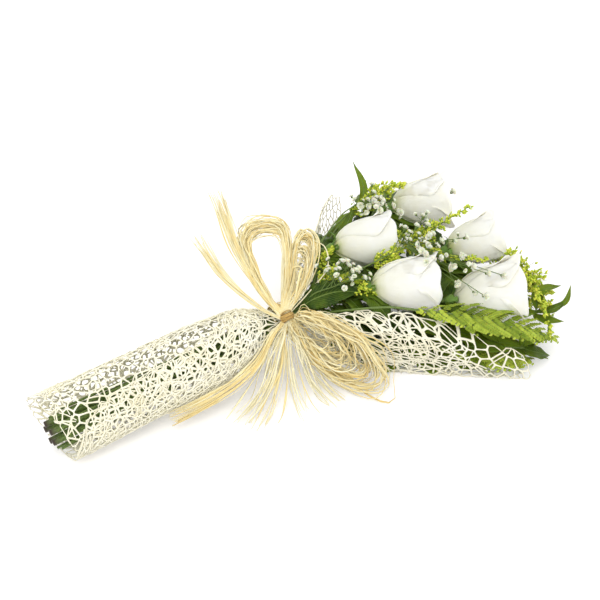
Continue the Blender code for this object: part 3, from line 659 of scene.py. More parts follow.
def grow_leaf(shape, at, tip, rng):
    """A leaf of a rose from at to tip, raised a little in its middle."""
    middle = (at + tip) / 2 + UP * rng.uniform(1, 5)
    look = np.array((rng.uniform(-0.3, 0.3), rng.uniform(-0.3, 0.3), 1))
    leaf(shape, [at, blend(at, middle, 0.35), middle, tip], rng.uniform(16, 24), look,
         rng.uniform(0.0, 0.5), *CRIMPED)


# Net

SLEEVE_BACK = -251.0
COLLAR_START = -8.0
COLLAR_FRONT = 170.0
WRAP_PITCH = 2.0  # how far in each turn of the wrap goes
MOUTH_SLANT = 17.0
# Over the place along: the middle and radius of the sleeve's roll, the angles of the wrap's two
# edges, and the collar's reach to each side, down, and up on each side.
ROLL_MIDDLE = ((-251, 35.5), (-42, 44.5), (-16, 45), (-8, 45), (60, 47), (170, 47))
ROLL_RADIUS = ((-251, 35.5), (-90, 33.5), (-50, 30), (-35, 24.5), (-24, 18.8), (-17, 15.2),
               (-14, 13.9), (-8, 13.6))
OUTER_EDGE = ((-251, 100), (-231, 52), (-200, 30), (-125, 22), (-81, 8), (-48, -30), (-22, 0),
              (-8, 26), (12, 58), (42, 68), (77, 77), (118, 83), (150, 90), (170, 98))
INNER_EDGE = ((-251, 530), (-125, 500), (-53, 470), (-22, 350), (-8, 338), (40, 300), (74, 284),
              (128, 284), (170, 268))
BOUND = ((-8, 13.6), (-2, 13.9))  # where the raffia holds the net
THROAT = (*BOUND, (1, 16))
NEAR_WIDTH = (*THROAT, (8, 26), (24, 46), (63, 81), (110, 117), (170, 158))
FAR_WIDTH = (*THROAT, (8, 24), (24, 39), (63, 62), (110, 95), (170, 124))
FLOOR_DEPTH = (*BOUND, (2, 20), (12, 36), (28, 56), (42, 90), (170, 120))
NEAR_TOP = (*THROAT, (8, 20), (24, 22), (63, 16), (170, 16))
FAR_TOP = (*THROAT, (8, 20), (24, 26), (63, 40), (110, 60), (170, 60))
STRAND = 0.60  # half the width of a strand of the net
STRAND_RISE = 0.42  # half its thickness
STRAND_IN = 0.5  # from the wrap's outer face in to a strand's middle
PARTS = 2  # steps in each strand between two knots of the net
LEAST_HOLE = 0.12  # of a cell
# The sheets' widths in their own plane, where cells are about as wide as long.
SLEEVE_WIDE = 306.0
COLLAR_WIDE = 340.0
SLEEVE_FOLD_WIDE = 190.0
COLLAR_FOLD_WIDE = 60.0


def collar_radius(x, turn):
    """The collar's reach from the roll's middle at turn, which is 0 at the top."""
    near = np.sin(turn) > 0
    side = np.where(near, lookup(NEAR_WIDTH, x), lookup(FAR_WIDTH, x))
    top = np.where(near, lookup(NEAR_TOP, x), lookup(FAR_TOP, x))
    level = np.where(np.cos(turn) > 0, top, lookup(FLOOR_DEPTH, x))
    power = blend(2.0, 2.6, ease((x - COLLAR_START) / 40))
    across = np.abs(np.sin(turn) / side) ** power
    return (across + np.abs(np.cos(turn) / level) ** power) ** (-1 / power)


def wrap_spot(x, t, ripple=1.0):
    """Points on the wrap's outer face: t from 0 at its outer edge to 1 at its inner edge."""
    degrees = blend(lookup(OUTER_EDGE, x), lookup(INNER_EDGE, x), t)
    turn = np.radians(degrees)
    collar = collar_radius(np.maximum(x, COLLAR_START), turn)
    radius = np.where(x < COLLAR_START, lookup(ROLL_RADIUS, x), collar)
    radius = radius - WRAP_PITCH * degrees / 360
    # Gathers run out from the waist on both sides and die away.
    from_waist = np.abs(x - COLLAR_START) - 30
    gather = np.exp(-((from_waist / 22) ** 2)) + 0.35 * ease(from_waist / 60)
    radius = radius - ripple * gather * 0.9 * (1 + np.sin(turn * 13 + 0.06 * x + 2 * np.sin(turn)))
    middle = lookup(ROLL_MIDDLE, x)
    reach = np.maximum(x - 62, 0)
    x_here = x - reach * 0.30 * ease((degrees - 110) / 150)
    slant = MOUTH_SLANT * (1 - np.cos(turn - math.radians(310))) / 2
    x_here = x_here + slant * ease((-100 - x) / 150)
    z = np.maximum(middle + radius * np.cos(turn), 0.0)
    return together(x_here, -radius * np.sin(turn), z)


def wrap_sheet(x, t):
    """The same points, with the directions out of the wrap."""
    outer = wrap_spot(x, t)
    along = wrap_spot(x + 0.4, t) - wrap_spot(x - 0.4, t)
    round_it = wrap_spot(x, t + 0.002) - wrap_spot(x, t - 0.002)
    out = unit(np.cross(round_it, along))
    middle = wrap_spot(x, t, 0.0)
    inside = together(middle[..., 0], 0.0, lookup(ROLL_MIDDLE, x))
    facing = np.sum(out * (outer - inside), -1, keepdims=True)
    return outer, np.where(facing < 0, -out, out)


def circumcentres(corners, triangles):
    """The middle of the circle through the corners of each triangle."""
    three = corners[triangles.T]
    facing = np.roll(three, -1, 0) - np.roll(three, -2, 0)
    scale = 2 * (three[..., 0] * facing[..., 1]).sum(0)
    square = (three**2).sum(-1)
    sides = (facing[..., 1], -facing[..., 0])
    return together(*((square * side).sum(0) / scale for side in sides))


def web(shape, low, high, rng, step, wide, surface, strand=STRAND, rise=STRAND_RISE):
    """An irregular web of rounded cells over a sheet, from low to high along it. Its strands
    keep their real width where the sheet narrows. surface turns (along, t) into places and
    directions out of the sheet."""
    width_at = width_of(surface)
    seeds = []
    for i in range(int((high - low) / step) + 4):
        for j in range(int(wide / step) + 4):
            x = low + (i - 1.5) * step
            y = (j - 1.5 + 0.5 * (i % 2)) * step
            seeds.append([x, y] + rng.uniform(-0.46, 0.46, 2) * step)
    found = delaunay_2d_cdt([Vector(seed) for seed in seeds], [], [], 0, 1e-6)
    corners = np.array([tuple(p) for p in found[0]])
    triangles = np.array(found[2])
    middle = np.clip(circumcentres(corners, triangles), (low, 0), (high, wide))
    around = [[] for _ in corners]
    for number, triangle in enumerate(triangles):
        for corner in triangle:
            around[corner].append(number)
    plane = []
    rises = []
    faces = []
    crest = {}

    def crest_points(first, second, part):
        """The web's two points, over and under, a part of the way from corner first to second."""
        steps = part if first < second else PARTS - part
        key = (first, 0) if part == 0 else (min(first, second), max(first, second), steps)
        if key not in crest:
            crest[key] = len(plane)
            place = blend(middle[first], middle[second], part / PARTS)
            plane.extend([place, place])
            lift = rise * (1.15 if part == 0 else 1.0)
            rises.extend([lift, -lift])
        return crest[key]

    for centre, ring in zip(corners, around):
        if not (low < centre[0] < high and 0 < centre[1] < wide):
            continue
        ring = sorted(ring, key=lambda k: math.atan2(*(middle[k] - centre)[::-1]))
        ring = [k for k, last in zip(ring, ring[-1:] + ring)
                if np.abs(middle[k] - middle[last]).max() > 0.05]
        if len(ring) < 3:
            continue
        narrow = np.array((1.0, width_at(centre[0]) / wide))
        steps = [(*pair, part) for pair in zip(ring, ring[1:] + ring[:1]) for part in range(PARTS)]
        top = np.array([crest_points(*step) for step in steps])
        line = np.array([blend(middle[a], middle[b], part / PARTS) for a, b, part in steps])
        heart = line.mean(0)
        local = (line - heart) * narrow
        edge = np.roll(local, -1, 0) - np.roll(local, 1, 0)
        inward = unit(together(-edge[:, 1], edge[:, 0]))
        inward *= -np.sign((inward * local).sum(1, keepdims=True) + 1e-9)
        is_corner = (np.arange(len(line)) % PARTS == 0)[:, None]
        hole = local + inward * strand * np.where(is_corner, 1.35, rng.uniform(0.8, 1.25))
        # A hole never turns inside out, and its corners are rounded.
        far = np.linalg.norm(local, axis=1, keepdims=True)
        reach = (hole * unit(local)).sum(1, keepdims=True)
        hole = np.where(reach < LEAST_HOLE * far, local * LEAST_HOLE, hole)
        hole = hole * 0.78 + (np.roll(hole, 1, 0) + np.roll(hole, -1, 0)) * 0.11
        size = np.linalg.norm(hole, axis=1).mean()
        count = len(line)
        start = len(plane)
        shoulder = local + (hole - local) * 0.62
        for points, lift in ((shoulder, 0.72), (hole, 0.0), (shoulder, -0.72)):
            plane.extend(heart + points / narrow)
            rises.extend([rise * lift] * count)
        k = np.arange(count)
        after = (k + 1) % count
        row = start + k
        for near, far_row in ((top, row), (row, row + count), (row + count, row + 2 * count),
                              (row + 2 * count, top + 1)):
            faces.append(together(near, near[after], far_row[after], far_row))
        if size < 0.55:
            plane.append(heart)
            rises.append(0.0)
            hub = len(plane) - 1
            faces.append(together(row + count, start + count + after, hub, hub))
    plane = np.array(plane)
    place, out = surface(plane[:, 0], plane[:, 1] / wide)
    points = place + out * (np.array(rises) - STRAND_IN)[:, None]
    points[:, 2] = np.maximum(points[:, 2], 0.02)
    quads = np.vstack(faces)
    whole = quads[:, 2] != quads[:, 3]
    shape.add(points, quads[whole], plane / 100)
    shape.join(quads[~whole][:, :3])


def stray_strands(shape, low, high, rng, count, wide, lift, near=1.0):
    """Straight strands that lie across the wrap's web, out to near of its width."""
    for _ in range(count):
        x, y = rng.uniform(low, high), rng.uniform(0, near) * wide
        turn = rng.uniform(0, math.pi)
        reach = rng.uniform(7, 20)
        t = np.linspace(-1, 1, 7)
        xs = np.clip(x + reach * math.cos(turn) * t, low, high)
        ys = np.clip(y + reach * math.sin(turn) * t + 1.5 * t**2, 0, wide)
        place, out = wrap_sheet(xs, ys / wide)
        path = place + out * (lift + 0.25 * np.cos(t * 6))[:, None]
        path[:, 2] = np.maximum(path[:, 2], 0.5)
        if np.linalg.norm(path[0] - path[-1]) > 6:
            tube(shape, path, rng.uniform(0.45, 0.72), 5, look=out[0])


def fold_sheet(x, t):
    """The part beside the sheet's outer edge that is folded under the rest of it: once round the
    sleeve's near side, its underside and its far side, and a band of the collar."""
    start = lookup(OUTER_EDGE, x) + 1
    wide = np.where(x < COLLAR_START, 345 - start, 36)
    span = lookup(INNER_EDGE, x) - lookup(OUTER_EDGE, x)
    place, out = wrap_sheet(x, (1 + t * wide) / span)
    return place - out * 1.15, out


def width_of(surface):
    """How wide a sheet really is at each place along it."""
    xs = np.linspace(SLEEVE_BACK, COLLAR_FRONT, 60)
    t = np.linspace(0, 1, 160)
    widths = [distances(surface(np.full_like(t, x), t)[0])[-1] for x in xs]
    return lambda x: np.interp(x, xs, widths)


def net():
    """The sleeve and the collar, and what is folded under them."""
    rng = np.random.default_rng(3)
    sleeve, collar, fold = Shape(), Shape(), Shape()
    web(sleeve, SLEEVE_BACK, COLLAR_START, rng, 10.2, SLEEVE_WIDE, wrap_sheet)
    web(collar, COLLAR_START, COLLAR_FRONT, rng, 9.6, COLLAR_WIDE, wrap_sheet)
    web(fold, -243.0, -34.0, rng, 7.4, SLEEVE_FOLD_WIDE, fold_sheet, 0.95, 0.36)
    web(fold, 2.0, 118.0, rng, 8.6, COLLAR_FOLD_WIDE, fold_sheet, 0.62, 0.36)
    stray_strands(fold, SLEEVE_BACK, -16.0, rng, 190, SLEEVE_WIDE, -0.3)
    stray_strands(fold, 0.0, 100.0, rng, 120, COLLAR_WIDE, -0.3)
    stray_strands(fold, 4.0, 90.0, rng, 70, COLLAR_WIDE, -0.2, 0.3)
    stray_strands(fold, 70.0, 150.0, rng, 30, COLLAR_WIDE, -0.2, 0.3)
    # Cut sizes of the cloth, and the share of each that is strands and not openings.
    for shape, name, held, flat, share in (
        (sleeve, "net_sleeve", "gathered", (0.26, 0.245), 0.34),
        (collar, "net_collar", "gathered", (0.50, 0.18), 0.32),
        (fold, "net_fold", "folded", (0.26, 0.42), 0.62),
    ):
        piece = shape.make(name, [NET], "net", ["net_wrap"])


# Raffia

KNOT_LEAN = math.radians(40)
KNOT_OUT = np.array((0, -math.sin(KNOT_LEAN), math.cos(KNOT_LEAN)))
KNOT_UP = np.array((0, math.cos(KNOT_LEAN), math.sin(KNOT_LEAN)))
KNOT = np.array((BAND_AT, 0, WAIST_HEIGHT)) + KNOT_OUT * 19.0
ALONG = np.array((1.0, 0.0, 0.0))
LEG = 8.0  # from the knot's middle to where a strand leaves it
RAFFIA_THICK = 0.3

# Each loop: angle at which it leaves the knot, points that it passes, angle at which it comes
# back, number of strands, how far they spread, how much smaller the smallest is, and tone.
LOOPS = (
    (122, ((-15, 20, 69), (-12, 50, 78), (-7, 77, 85), (9, 91, 90), (27, 86, 92), (39, 71, 91),
           (30, 48, 86), (13, 22, 77)), 98, 60, 5.0, 0.16, 0.30),
    (74, ((11, 15, 70), (30, 39, 79), (45, 54, 86), (55, 54, 88), (53, 36, 83), (30, 12, 72)),
     48, 56, 6.0, 0.55, 0.26),
    (-22, ((14, -36, 66), (27, -58, 66), (38, -76, 60), (47, -89, 44), (54, -97, 15),
           (40, -101, 5), (19, -76, 6), (2, -50, 22), (-4, -32, 42)), -62, 72, 10.0, 0.68, 0.27),
)
# Each tail: angle at the knot, points, number of strands, spread at its end, and tone.
TAILS = (
    (140, ((-18, 21, 72), (-16, 63, 85), (-5, 108, 93), (4, 143, 95)), 30, 9.0, 0.22),
    (162, ((-32, 6, 74), (-41, 44, 80), (-39, 84, 80), (-34, 112, 75)), 18, 7.0, 0.22),
    (208, ((-32, -26, 60), (-52, -36, 47), (-68, -38, 37), (-86, -38, 30), (-116, -37, 24),
           (-146, -36, 22)), 24, 8.0, 0.34),
    (238, ((-24, -28, 54), (-41, -44, 32), (-60, -56, 12), (-84, -66, 2)), 19, 27.0, 0.10),
    (268, ((-14, -34, 44), (-17, -50, 20), (-16, -66, 6), (-15, -86, 2)), 20, 31.0, 0.10),
)
# Across a strand: its place, on its upper or under face, and how the fold lifts it.
SECTION = ((-1, 0.5, -1), (0, 0.5, 1), (1, 0.5, -1), (1, -0.5, -1), (0, -0.5, 1), (-1, -0.5, -1))
SECTION_PLACES = np.array((0, 0.5, 1, 1, 0.5, 0))


def leg(rng, angle, slack):
    """A point beside the knot: angle 0 is toward the flowers, 90 up and away."""
    turn = math.radians(angle + rng.uniform(-slack, slack))
    return KNOT + ALONG * LEG * math.cos(turn) + KNOT_UP * LEG * math.sin(turn)


def ribbon(shape, path, width, look, rng, tone, twist=0.0):
    """One flat strand, folded a little along its middle."""
    count = len(path)
    across, through = carried_axes(path, look)
    t = np.linspace(0, 1, count)
    angle = (twist * np.sin(t * math.pi * rng.uniform(0.8, 2.2) + rng.uniform(0, 6)))[:, None]
    a = across * np.cos(angle) + through * np.sin(angle)
    b = through * np.cos(angle) - across * np.sin(angle)
    taper = np.minimum(1, 0.35 + 3.0 * np.minimum(t, 1 - t))
    half = (width / 2 * taper * (1 + 0.12 * np.sin(t * 17 + rng.uniform(0, 6))))[:, None]
    fold = rng.uniform(0.1, 0.45)
    points = np.stack([
        path + a * half * side + b * (face * RAFFIA_THICK + bend * fold * half / 2)
        for side, face, bend in SECTION
    ], 1)
    points[..., 2] = np.maximum(points[..., 2], 0.1)
    places = together(SECTION_PLACES[None] + rng.uniform(0, 9), distances(path)[:, None] / 20)
    shape.add(points, grid_faces(count, 6, closed=True), places, tone)
    cap = np.array(((5, 4, 1, 0), (4, 3, 2, 1)))
    shape.join(cap)
    shape.join(cap[:, ::-1] + (count - 1) * 6)


def wander(path, rng, size, end=0.0):
    """The path with slow sideways drift, none at its start and the share end of it at its end."""
    t = np.linspace(0, 1, len(path))
    hold = ease(t / 0.25) * (ease((1 - t) / 0.25) * (1 - end) + end)
    drift = np.zeros_like(path)
    for wave in (1.0, 2.3, 4.1):
        sway = np.sin(t * wave * math.pi + rng.uniform(0, 6))[:, None]
        drift += sway * rng.normal(size=3) / wave
    return path + drift * size * hold[:, None]


def near_knot(rng):
    """Where a strand starts or ends, inside the knot."""
    return KNOT + rng.normal(size=3)


def bow_strand(shape, path, lowest, highest, width, rng, tone, twist):
    """One strand of the bow, kept over the table and under the top of the solids' box."""
    path[:, 2] = np.clip(path[:, 2], lowest, highest)
    look = KNOT_OUT + rng.normal(size=3) * 0.3
    ribbon(shape, path, width, look, rng, np.clip(tone + rng.normal() * 0.15, 0, 0.95), twist)


def raffia_loops():
    for number, (start, points, finish, count, spread, least, tone) in enumerate(LOOPS, 1):
        rng = np.random.default_rng(65 + number)
        shape = Shape()
        base = np.array(points, float)
        heart = base.mean(0)
        near = np.linspace(0, 1, len(base))[:, None]
        for k in range(count):
            grow = 1.0 - least * rng.uniform(0, 1) ** 1.6
            if k % 9 == 8 and least > 0.3:
                grow = rng.uniform(0.5, 0.8)
            pinch = blend(1.0, rng.uniform(0.7, 1.06), np.sin(near * math.pi))
            moved = KNOT + (base - KNOT) * grow
            moved = heart + (moved - heart) * pinch + rng.normal(size=3) * spread * 0.3
            moved = moved + rng.normal(size=moved.shape) * spread * 0.24
            route = [near_knot(rng), leg(rng, start, 18), *moved, leg(rng, finish, 18),
                     near_knot(rng)]
            path = wander(smooth_path(route, 38), rng, spread * 0.13)
            width = rng.uniform(1.4, 2.4) if k % 4 == 0 else rng.uniform(0.6, 1.3)
            bow_strand(shape, path, 0.6, 97.5, width, rng, tone, 0.9)
        if number == 2:
            loose = smooth_path([(50, 38, 88), (57, 26, 84), (49, 9, 76), (31, 2, 68), KNOT], 40)
            ribbon(shape, loose, 1.2, KNOT_OUT, rng, 0.1, 0.6)
        shape.make_for(f"raffia_loop_{number}", "strands", [RAFFIA], "raffia")


def raffia_tails():
    for number, (start, points, count, spread, tone) in enumerate(TAILS, 1):
        rng = np.random.default_rng(39 + number)
        shape = Shape()
        for k in range(count):
            base = np.array(points, float)
            near = np.linspace(1 / len(base), 1, len(base))[:, None]
            side = unit(np.cross(KNOT_OUT, base[-1] - base[0]))
            base = base + side * rng.uniform(-1, 1) * spread * near
            base = base + KNOT_OUT * rng.uniform(-0.3, 0.6) * spread * 0.2 * near
            cut = rng.uniform(0.90, 1.02) if k else 1.0
            path = smooth_path([near_knot(rng), leg(rng, start, 14), *base], 50)
            path = even(path[: max(int(50 * cut), 20)], 34)
            path = wander(path, rng, spread * 0.08 + 0.5, end=0.9)
            bow_strand(shape, path, 0.4, 98.0, rng.uniform(0.7, 2.0), rng, tone, 1.1)
        shape.make_for(f"raffia_tail_{number}", "strands", [RAFFIA], "raffia")


def bindings():
    """The raffia wound round the waist and round the throat of the bow, and the twine inside."""
    rng = np.random.default_rng(11)
    shape = Shape()
    turn = np.linspace(0, 2 * math.pi, 49)[:, None]
    cos, sin = np.cos(turn), np.sin(turn)
    middle = np.array((BAND_AT, 0, WAIST_HEIGHT))
    for k in range(9):
        at = -4.2 + 8.4 * k / 8 + rng.uniform(-0.4, 0.4)
        slant = rng.uniform(-1.0, 1.0)
        radius = 15.0 + rng.uniform(-0.3, 0.55)
        path = middle + ALONG * (at + slant * sin) + radius * (KNOT_OUT * cos + KNOT_UP * sin)
        ribbon(shape, path, rng.uniform(1.6, 2.8), KNOT_OUT, rng, 0.35 + 0.4 * rng.random())
    for k in range(16):
        at = -3.9 + 7.8 * k / 15 + rng.uniform(-0.4, 0.4)
        path = KNOT + KNOT_UP * (at + rng.uniform(-2.2, 2.2) * sin)
        path = path + ALONG * (7.0 - 0.13 * at**2 + rng.uniform(-0.5, 0.5)) * cos
        path = path + KNOT_OUT * (4.9 + rng.uniform(-0.5, 0.4)) * sin
        ribbon(shape, path, rng.uniform(0.9, 1.8), ALONG, rng, 0.76 + 0.24 * rng.random(), 0.3)
    shape.make("raffia_binding", [RAFFIA], "raffia", ["raffia_knot"])
    twine = Shape()
    for k in range(3):
        path = np.hstack([TIE_AT - 0.6 + 0.6 * k + 0 * turn, 10.3 * cos, 44.3 + 10.3 * sin])
        tube(twine, path, 0.42, 6, look=ALONG, tone=0.7)
    twine.make("stem_twine", [RAFFIA], "raffia", ["stem_tie"])


# Greens. Each row has the stem's angle at the waist, how far behind the waist it is cut, and the
# points that it passes.

# Then the points of a frond's blade, and its width.
FRONDS = (
    (168, 236, ((40, -36, 62), (72, -58, 68)),
     ((92, -73, 67), (124, -99, 65), (162, -128, 57), (200, -150, 36)), 38),
    (222, 240, ((50, -40, 24), (90, -70, 20)),
     ((110, -86, 19), (146, -116, 17), (178, -142, 12)), 34),
    (310, 232, ((50, 24, 24), (100, 50, 22)),
     ((120, 60, 24), (160, 82, 28), (205, 100, 34)), 36),
)
# Then the points and the width of each of its leaves.
SPRIGS = (
    (0, 238, ((50, 36, 48), (95, 66, 56), (135, 80, 64), (150, 96, 74)), (
        (((84, 56, 54), (98, 54, 68), (116, 64, 82)), 9),
        (((95, 66, 56.5), (110, 72, 60), (128, 70, 62)), 11),
        (((135, 80, 64), (150, 76, 66), (170, 84, 60)), 14),
        (((118, 74, 60), (133, 74, 82), (141, 106, 95)), 8),
    )),
    (250, 242, ((60, -34, 20), (120, -62, 12), (180, -98, 18), (214, -112, 38)), (
        (((184, -100, 19), (204, -92, 22), (222, -80, 26)), 13),
        (((208, -109, 37), (216, -103, 50), (232, -112, 58)), 13),
        (((210, -110, 38), (226, -126, 50), (238, -119, 62)), 7),
        (((208, -109, 37), (214, -124, 46), (229, -126, 50)), 11),
        (((204, -108, 33), (206, -126, 38), (218, -137, 39)), 12),
    )),
    (196, 234, ((40, -40, 36), (80, -76, 25), (130, -106, 26), (176, -134, 24)), (
        (((130, -106, 26), (146, -122, 31), (160, -134, 28)), 16),
        (((172, -131, 24), (186, -128, 27), (206, -136, 22)), 20),
        (((174, -133, 24), (184, -141, 20), (198, -146, 12)), 19),
    )),
)
# Then the points and the width of each of its plumes.
SOLIDAGO_SPRAYS = (
    (26, 230, ((50, 42, 61), (100, 62, 72), (140, 66, 78)), (
        (((136, 66, 78), (152, 64, 84), (170, 60, 86)), 10),
        (((128, 65, 76), (138, 66, 82), (146, 74, 84)), 9),
        (((112, 64, 74), (126, 58, 80), (139, 62, 82)), 8),
        (((46, 38, 60), (54, 28, 66), (70, 34, 70)), 7),
    )),
    (86, 238, ((45, 2, 62), (90, -4, 70), (130, -6, 76)), (
        (((126, -6, 76), (160, -6, 84), (201, -6, 92)), 9),
        (((92, -5, 70), (106, -10, 74), (120, -10, 78)), 9),
        (((92, -5, 70), (106, -16, 72), (116, -2, 80)), 8),
        (((120, -6, 74), (136, 6, 76), (154, 6, 76)), 10),
        (((128, -6, 76), (146, -8, 76), (168, 4, 78)), 10),
        (((128, -6, 76), (150, -40, 80), (175, -68, 84)), 6),
        (((126, -6, 75), (138, -20, 74), (152, -26, 74)), 9),
        (((60, 0, 63), (72, -22, 62), (84, -33, 61)), 8),
        (((52, 0, 63), (66, -24, 67), (84, -41, 64)), 10),
        (((40, 2, 61), (48, 8, 66), (60, 12, 68)), 7),
        (((40, 2, 61), (46, -2, 66), (60, -6, 68)), 7),
    )),
    (278, 240, ((60, -12, 26), (120, -40, 20), (184, -54, 16), (214, -60, 30)), (
        (((212, -60, 28), (216, -50, 46), (213, -42, 62)), 16),
        (((214, -60, 30), (216, -56, 54), (216, -70, 64)), 20),
        (((212, -60, 28), (222, -78, 48), (211, -94, 60)), 21),
        (((206, -58, 24), (222, -88, 44), (205, -112, 56)), 21),
        (((206, -58, 24), (220, -98, 40), (198, -130, 54)), 19),
        (((206, -58, 24), (218, -108, 34), (192, -146, 42)), 15),
        (((206, -58, 24), (214, -66, 52), (208, -60, 72)), 15),
        (((206, -58, 24), (214, -84, 44), (206, -84, 68)), 14),
    )),
)
# Then its flowers.
GYPSOPHILA_SPRAYS = (
    (56, 226, ((50, 34, 70), (95, 56, 84), (120, 58, 88)),
     ((135, 61, 90), (134, 45, 92), (119, 47, 90), (116, 54, 88), (126, 37, 90), (139, 34, 92),
      (141, 24, 90), (128, 52, 91))),
    (114, 232, ((50, -5, 66), (96, -11, 80), (122, -14, 84)),
     ((134, 6, 86), (131, -2, 84), (145, 2, 86), (133, -14, 80), (150, -16, 88), (141, -42, 82),
      (136, -75, 80), (153, -57, 91), (154, -2, 86), (139, -60, 86), (162, -86, 88),
      (155, -72, 89), (174, -94, 86), (145, -105, 84), (169, -42, 95), (160, 12, 84),
      (150, -30, 90))),
    (142, 228, ((22, -5, 64), (42, -16, 76)),
     ((59, 0, 84), (62, -6, 82), (49, -6, 84), (69, -22, 77), (56, -19, 79), (42, -2, 82),
      (70, -11, 79), (64, -14, 82))),
    (334, 236, ((60, 30, 30), (120, 56, 32), (170, 78, 40)),
     ((196, 84, 48), (206, 92, 44), (188, 88, 54), (214, 84, 40), (206, 60, 62), (216, 40, 70))),
)
# The broad leaves: points of each, and its width.
ROSE_LEAVES = (
    (((8, -6, 55), (22, -9, 63), (42, -16, 68), (63, -27, 67)), 30),
    (((62, 24, 30), (80, 50, 40), (98, 66, 48), (120, 78, 52)), 26),
    (((69, -40.5, 32), (84, -57, 33), (100, -72, 31), (118, -86, 26)), 24),
)
TWIGS = 30  # on each plume
PINNAE = 14  # on each side of a frond
BLADE = 60  # points along a frond's blade
RIB = 15  # points along a pinna's rib
FERN_THICK = 0.22
ROSE_LEAF_THICK = 0.35


def green_stems(table, seed, radius, sides, tone):
    """For each row of table, its number, random draw, shape with the stem, the stem's path and
    the points it passes, and the row's further columns."""
    for number, (angle, end, passes, *rest) in enumerate(table, 1):
        shape = Shape()
        path = stem_path(angle, GREEN_RING, end, passes, 60)
        taper = blend(*radius, np.linspace(0, 1, len(path)) ** 2)
        tube(shape, path, taper, sides, skin=1, tone=tone)
        yield number, np.random.default_rng(number + seed), shape, path, passes, *rest


def fern_fronds():
    for number, (angle, end, passes, blade, width) in enumerate(FRONDS, 1):
        rng = np.random.default_rng(number + 40)
        shape = Shape()
        line = stem_path(angle, GREEN_RING, end, passes + blade[:1], 30)
        leafed = smooth_path(blade, BLADE, before=passes[-1])
        path = np.vstack([line, leafed[1:]])
        behind = np.arange(len(path)) / (len(path) - 1)
        tube(shape, path, blend(1.1, 0.35, behind**2), 8, skin=1, tone=0.3)
        across, through = axes_along(leafed, UP)
        ahead = unit(np.gradient(leafed, axis=0))
        for k in range(PINNAE):
            t = (k + 0.35) / PINNAE
            at = int(t * (BLADE - 1))
            full = max(width * math.sin(math.pi * min(t**0.75, 0.98)), 8.0) * 0.84
            for side in (-1, 1):
                lean = math.radians(rng.uniform(40, 48) - 12 * t)
                way = unit(ahead[at] * math.cos(lean) + across[at] * side * math.sin(lean))
                droop = through[at] * rng.uniform(-0.16, 0.10) * full
                bend = ahead[at] * full * 0.12
                root = leafed[min(at + (side > 0), BLADE - 1)]
                rib = smooth_path([root, root + way * full * 0.5 + through[at] * 1.2 - bend * 0.4,
                                   root + way * full + droop + bend], RIB)
                tube(shape, rib, blend(0.3, 0.12, np.linspace(0, 1, RIB)), 4, skin=1, tone=0.3)
                # Each pinna lies over the one before it, like a shingle.
                roll = rng.uniform(-0.1, 0.1)
                sides, ups = axes_along(rib, through[at] - ahead[at] * 0.55 + across[at] * roll)
                leaflets(shape, rib, sides[RIB // 2], ups[RIB // 2], full, rng)
        shape.make_for(f"fern_frond_{number}", "leafy", [FERN, STEM], "fern", FERN_THICK)


def leaflets(shape, rib, side, up, full, rng):
    """Pairs of notched leaflets along a pinna's rib, and one at its tip."""
    pairs = max(int(full / 2.4), 3)
    tone = rng.uniform(0.15, 1.0)
    rib_way = unit(rib[-1] - rib[0])
    u = np.linspace(0, 1, 5)
    width = 3.5 * np.sin(math.pi * np.clip(0.26 + 0.72 * u, 0, 0.985)) ** 0.5
    for n in range(pairs + 1):
        s = (n + 0.2) / (pairs + 0.2)
        spot = rib[min(int(s * (RIB - 1)), RIB - 1)]
        size = (5.2 * (1 - 0.66 * s**1.4) + 0.6) * (0.5 + 0.5 * full / 30)
        for half in (-1, 1) if n < pairs else (0,):
            tilt = math.radians(54 - 16 * s) * half
            out = unit(rib_way * math.cos(tilt) + side * math.sin(tilt))
            tip = spot + out * size * rng.uniform(0.92, 1.08) - up * 0.25
            path = smooth_path([spot, (spot + tip) / 2 + up * 0.3, tip], 5)
            strip(shape, path, width, up, tone + rng.uniform(-0.1, 0.1), 2, 0.14, 0.0, 0.22, 2)


def on_path(path, spot):
    """The place of path nearest to spot."""
    return path[np.linalg.norm(path - np.asarray(spot, float), axis=1).argmin()]


def leaf(shape, points, width, look=UP, tone=0.5, teeth=0.0, fold=0.16, columns=6, rows=22):
    """A leaf along points with a thin rib on it."""
    path = smooth_path(points, rows)
    t = np.linspace(0, 1, rows)
    wide = width * np.sin(math.pi * np.minimum(np.clip((t - 0.05) / 0.95, 0, 1) ** 0.8, 0.985))
    wide = np.maximum(wide, np.where(t < 0.12, 1.1, 0.25))
    strip(shape, path, wide, look, tone, columns, fold, 0.10, teeth)
    ribbed = rows - 3
    tube(shape, path[:ribbed] - unit(look) * 0.15, blend(0.55, 0.2, t[:ribbed]), 4, skin=1,
         tone=0.3)


def ruscus_sprigs():
    for number, rng, shape, path, _, leaves in green_stems(SPRIGS, 60, (1.1, 0.6), 8, 0.35):
        for points, width in leaves:
            root, *rest = np.array(points, float)
            leaf(shape, [on_path(path, root), *rest], width, tone=rng.uniform(0.2, 0.9))
        shape.make_for(f"ruscus_sprig_{number}", "leafy", [LEAF, STEM], "leaf", LEAF_THICK)


def rose_leaves():
    for number, (points, width) in enumerate(ROSE_LEAVES, 1):
        shape = Shape()
        leaf(shape, points, width, np.array((-0.1, -0.2, 1)), 0.12, 0.14, 0.10, 8, 46)
        shape.make_for(f"rose_leaf_{number}", "blade", [LEAF, STEM], "leaf", ROSE_LEAF_THICK)


def bud(shape, spot, way, length, radius, tone):
    """A small pointed floret."""
    path = spot + way * length * np.array((0.0, 0.4, 1.0))[:, None]
    tube(shape, path, np.array((0.45, 1.0, 0.2)) * radius, 4, look=way[[1, 2, 0]] + 0.1,
         tone=np.array((0.6, 1.0, 1.3)) * tone)


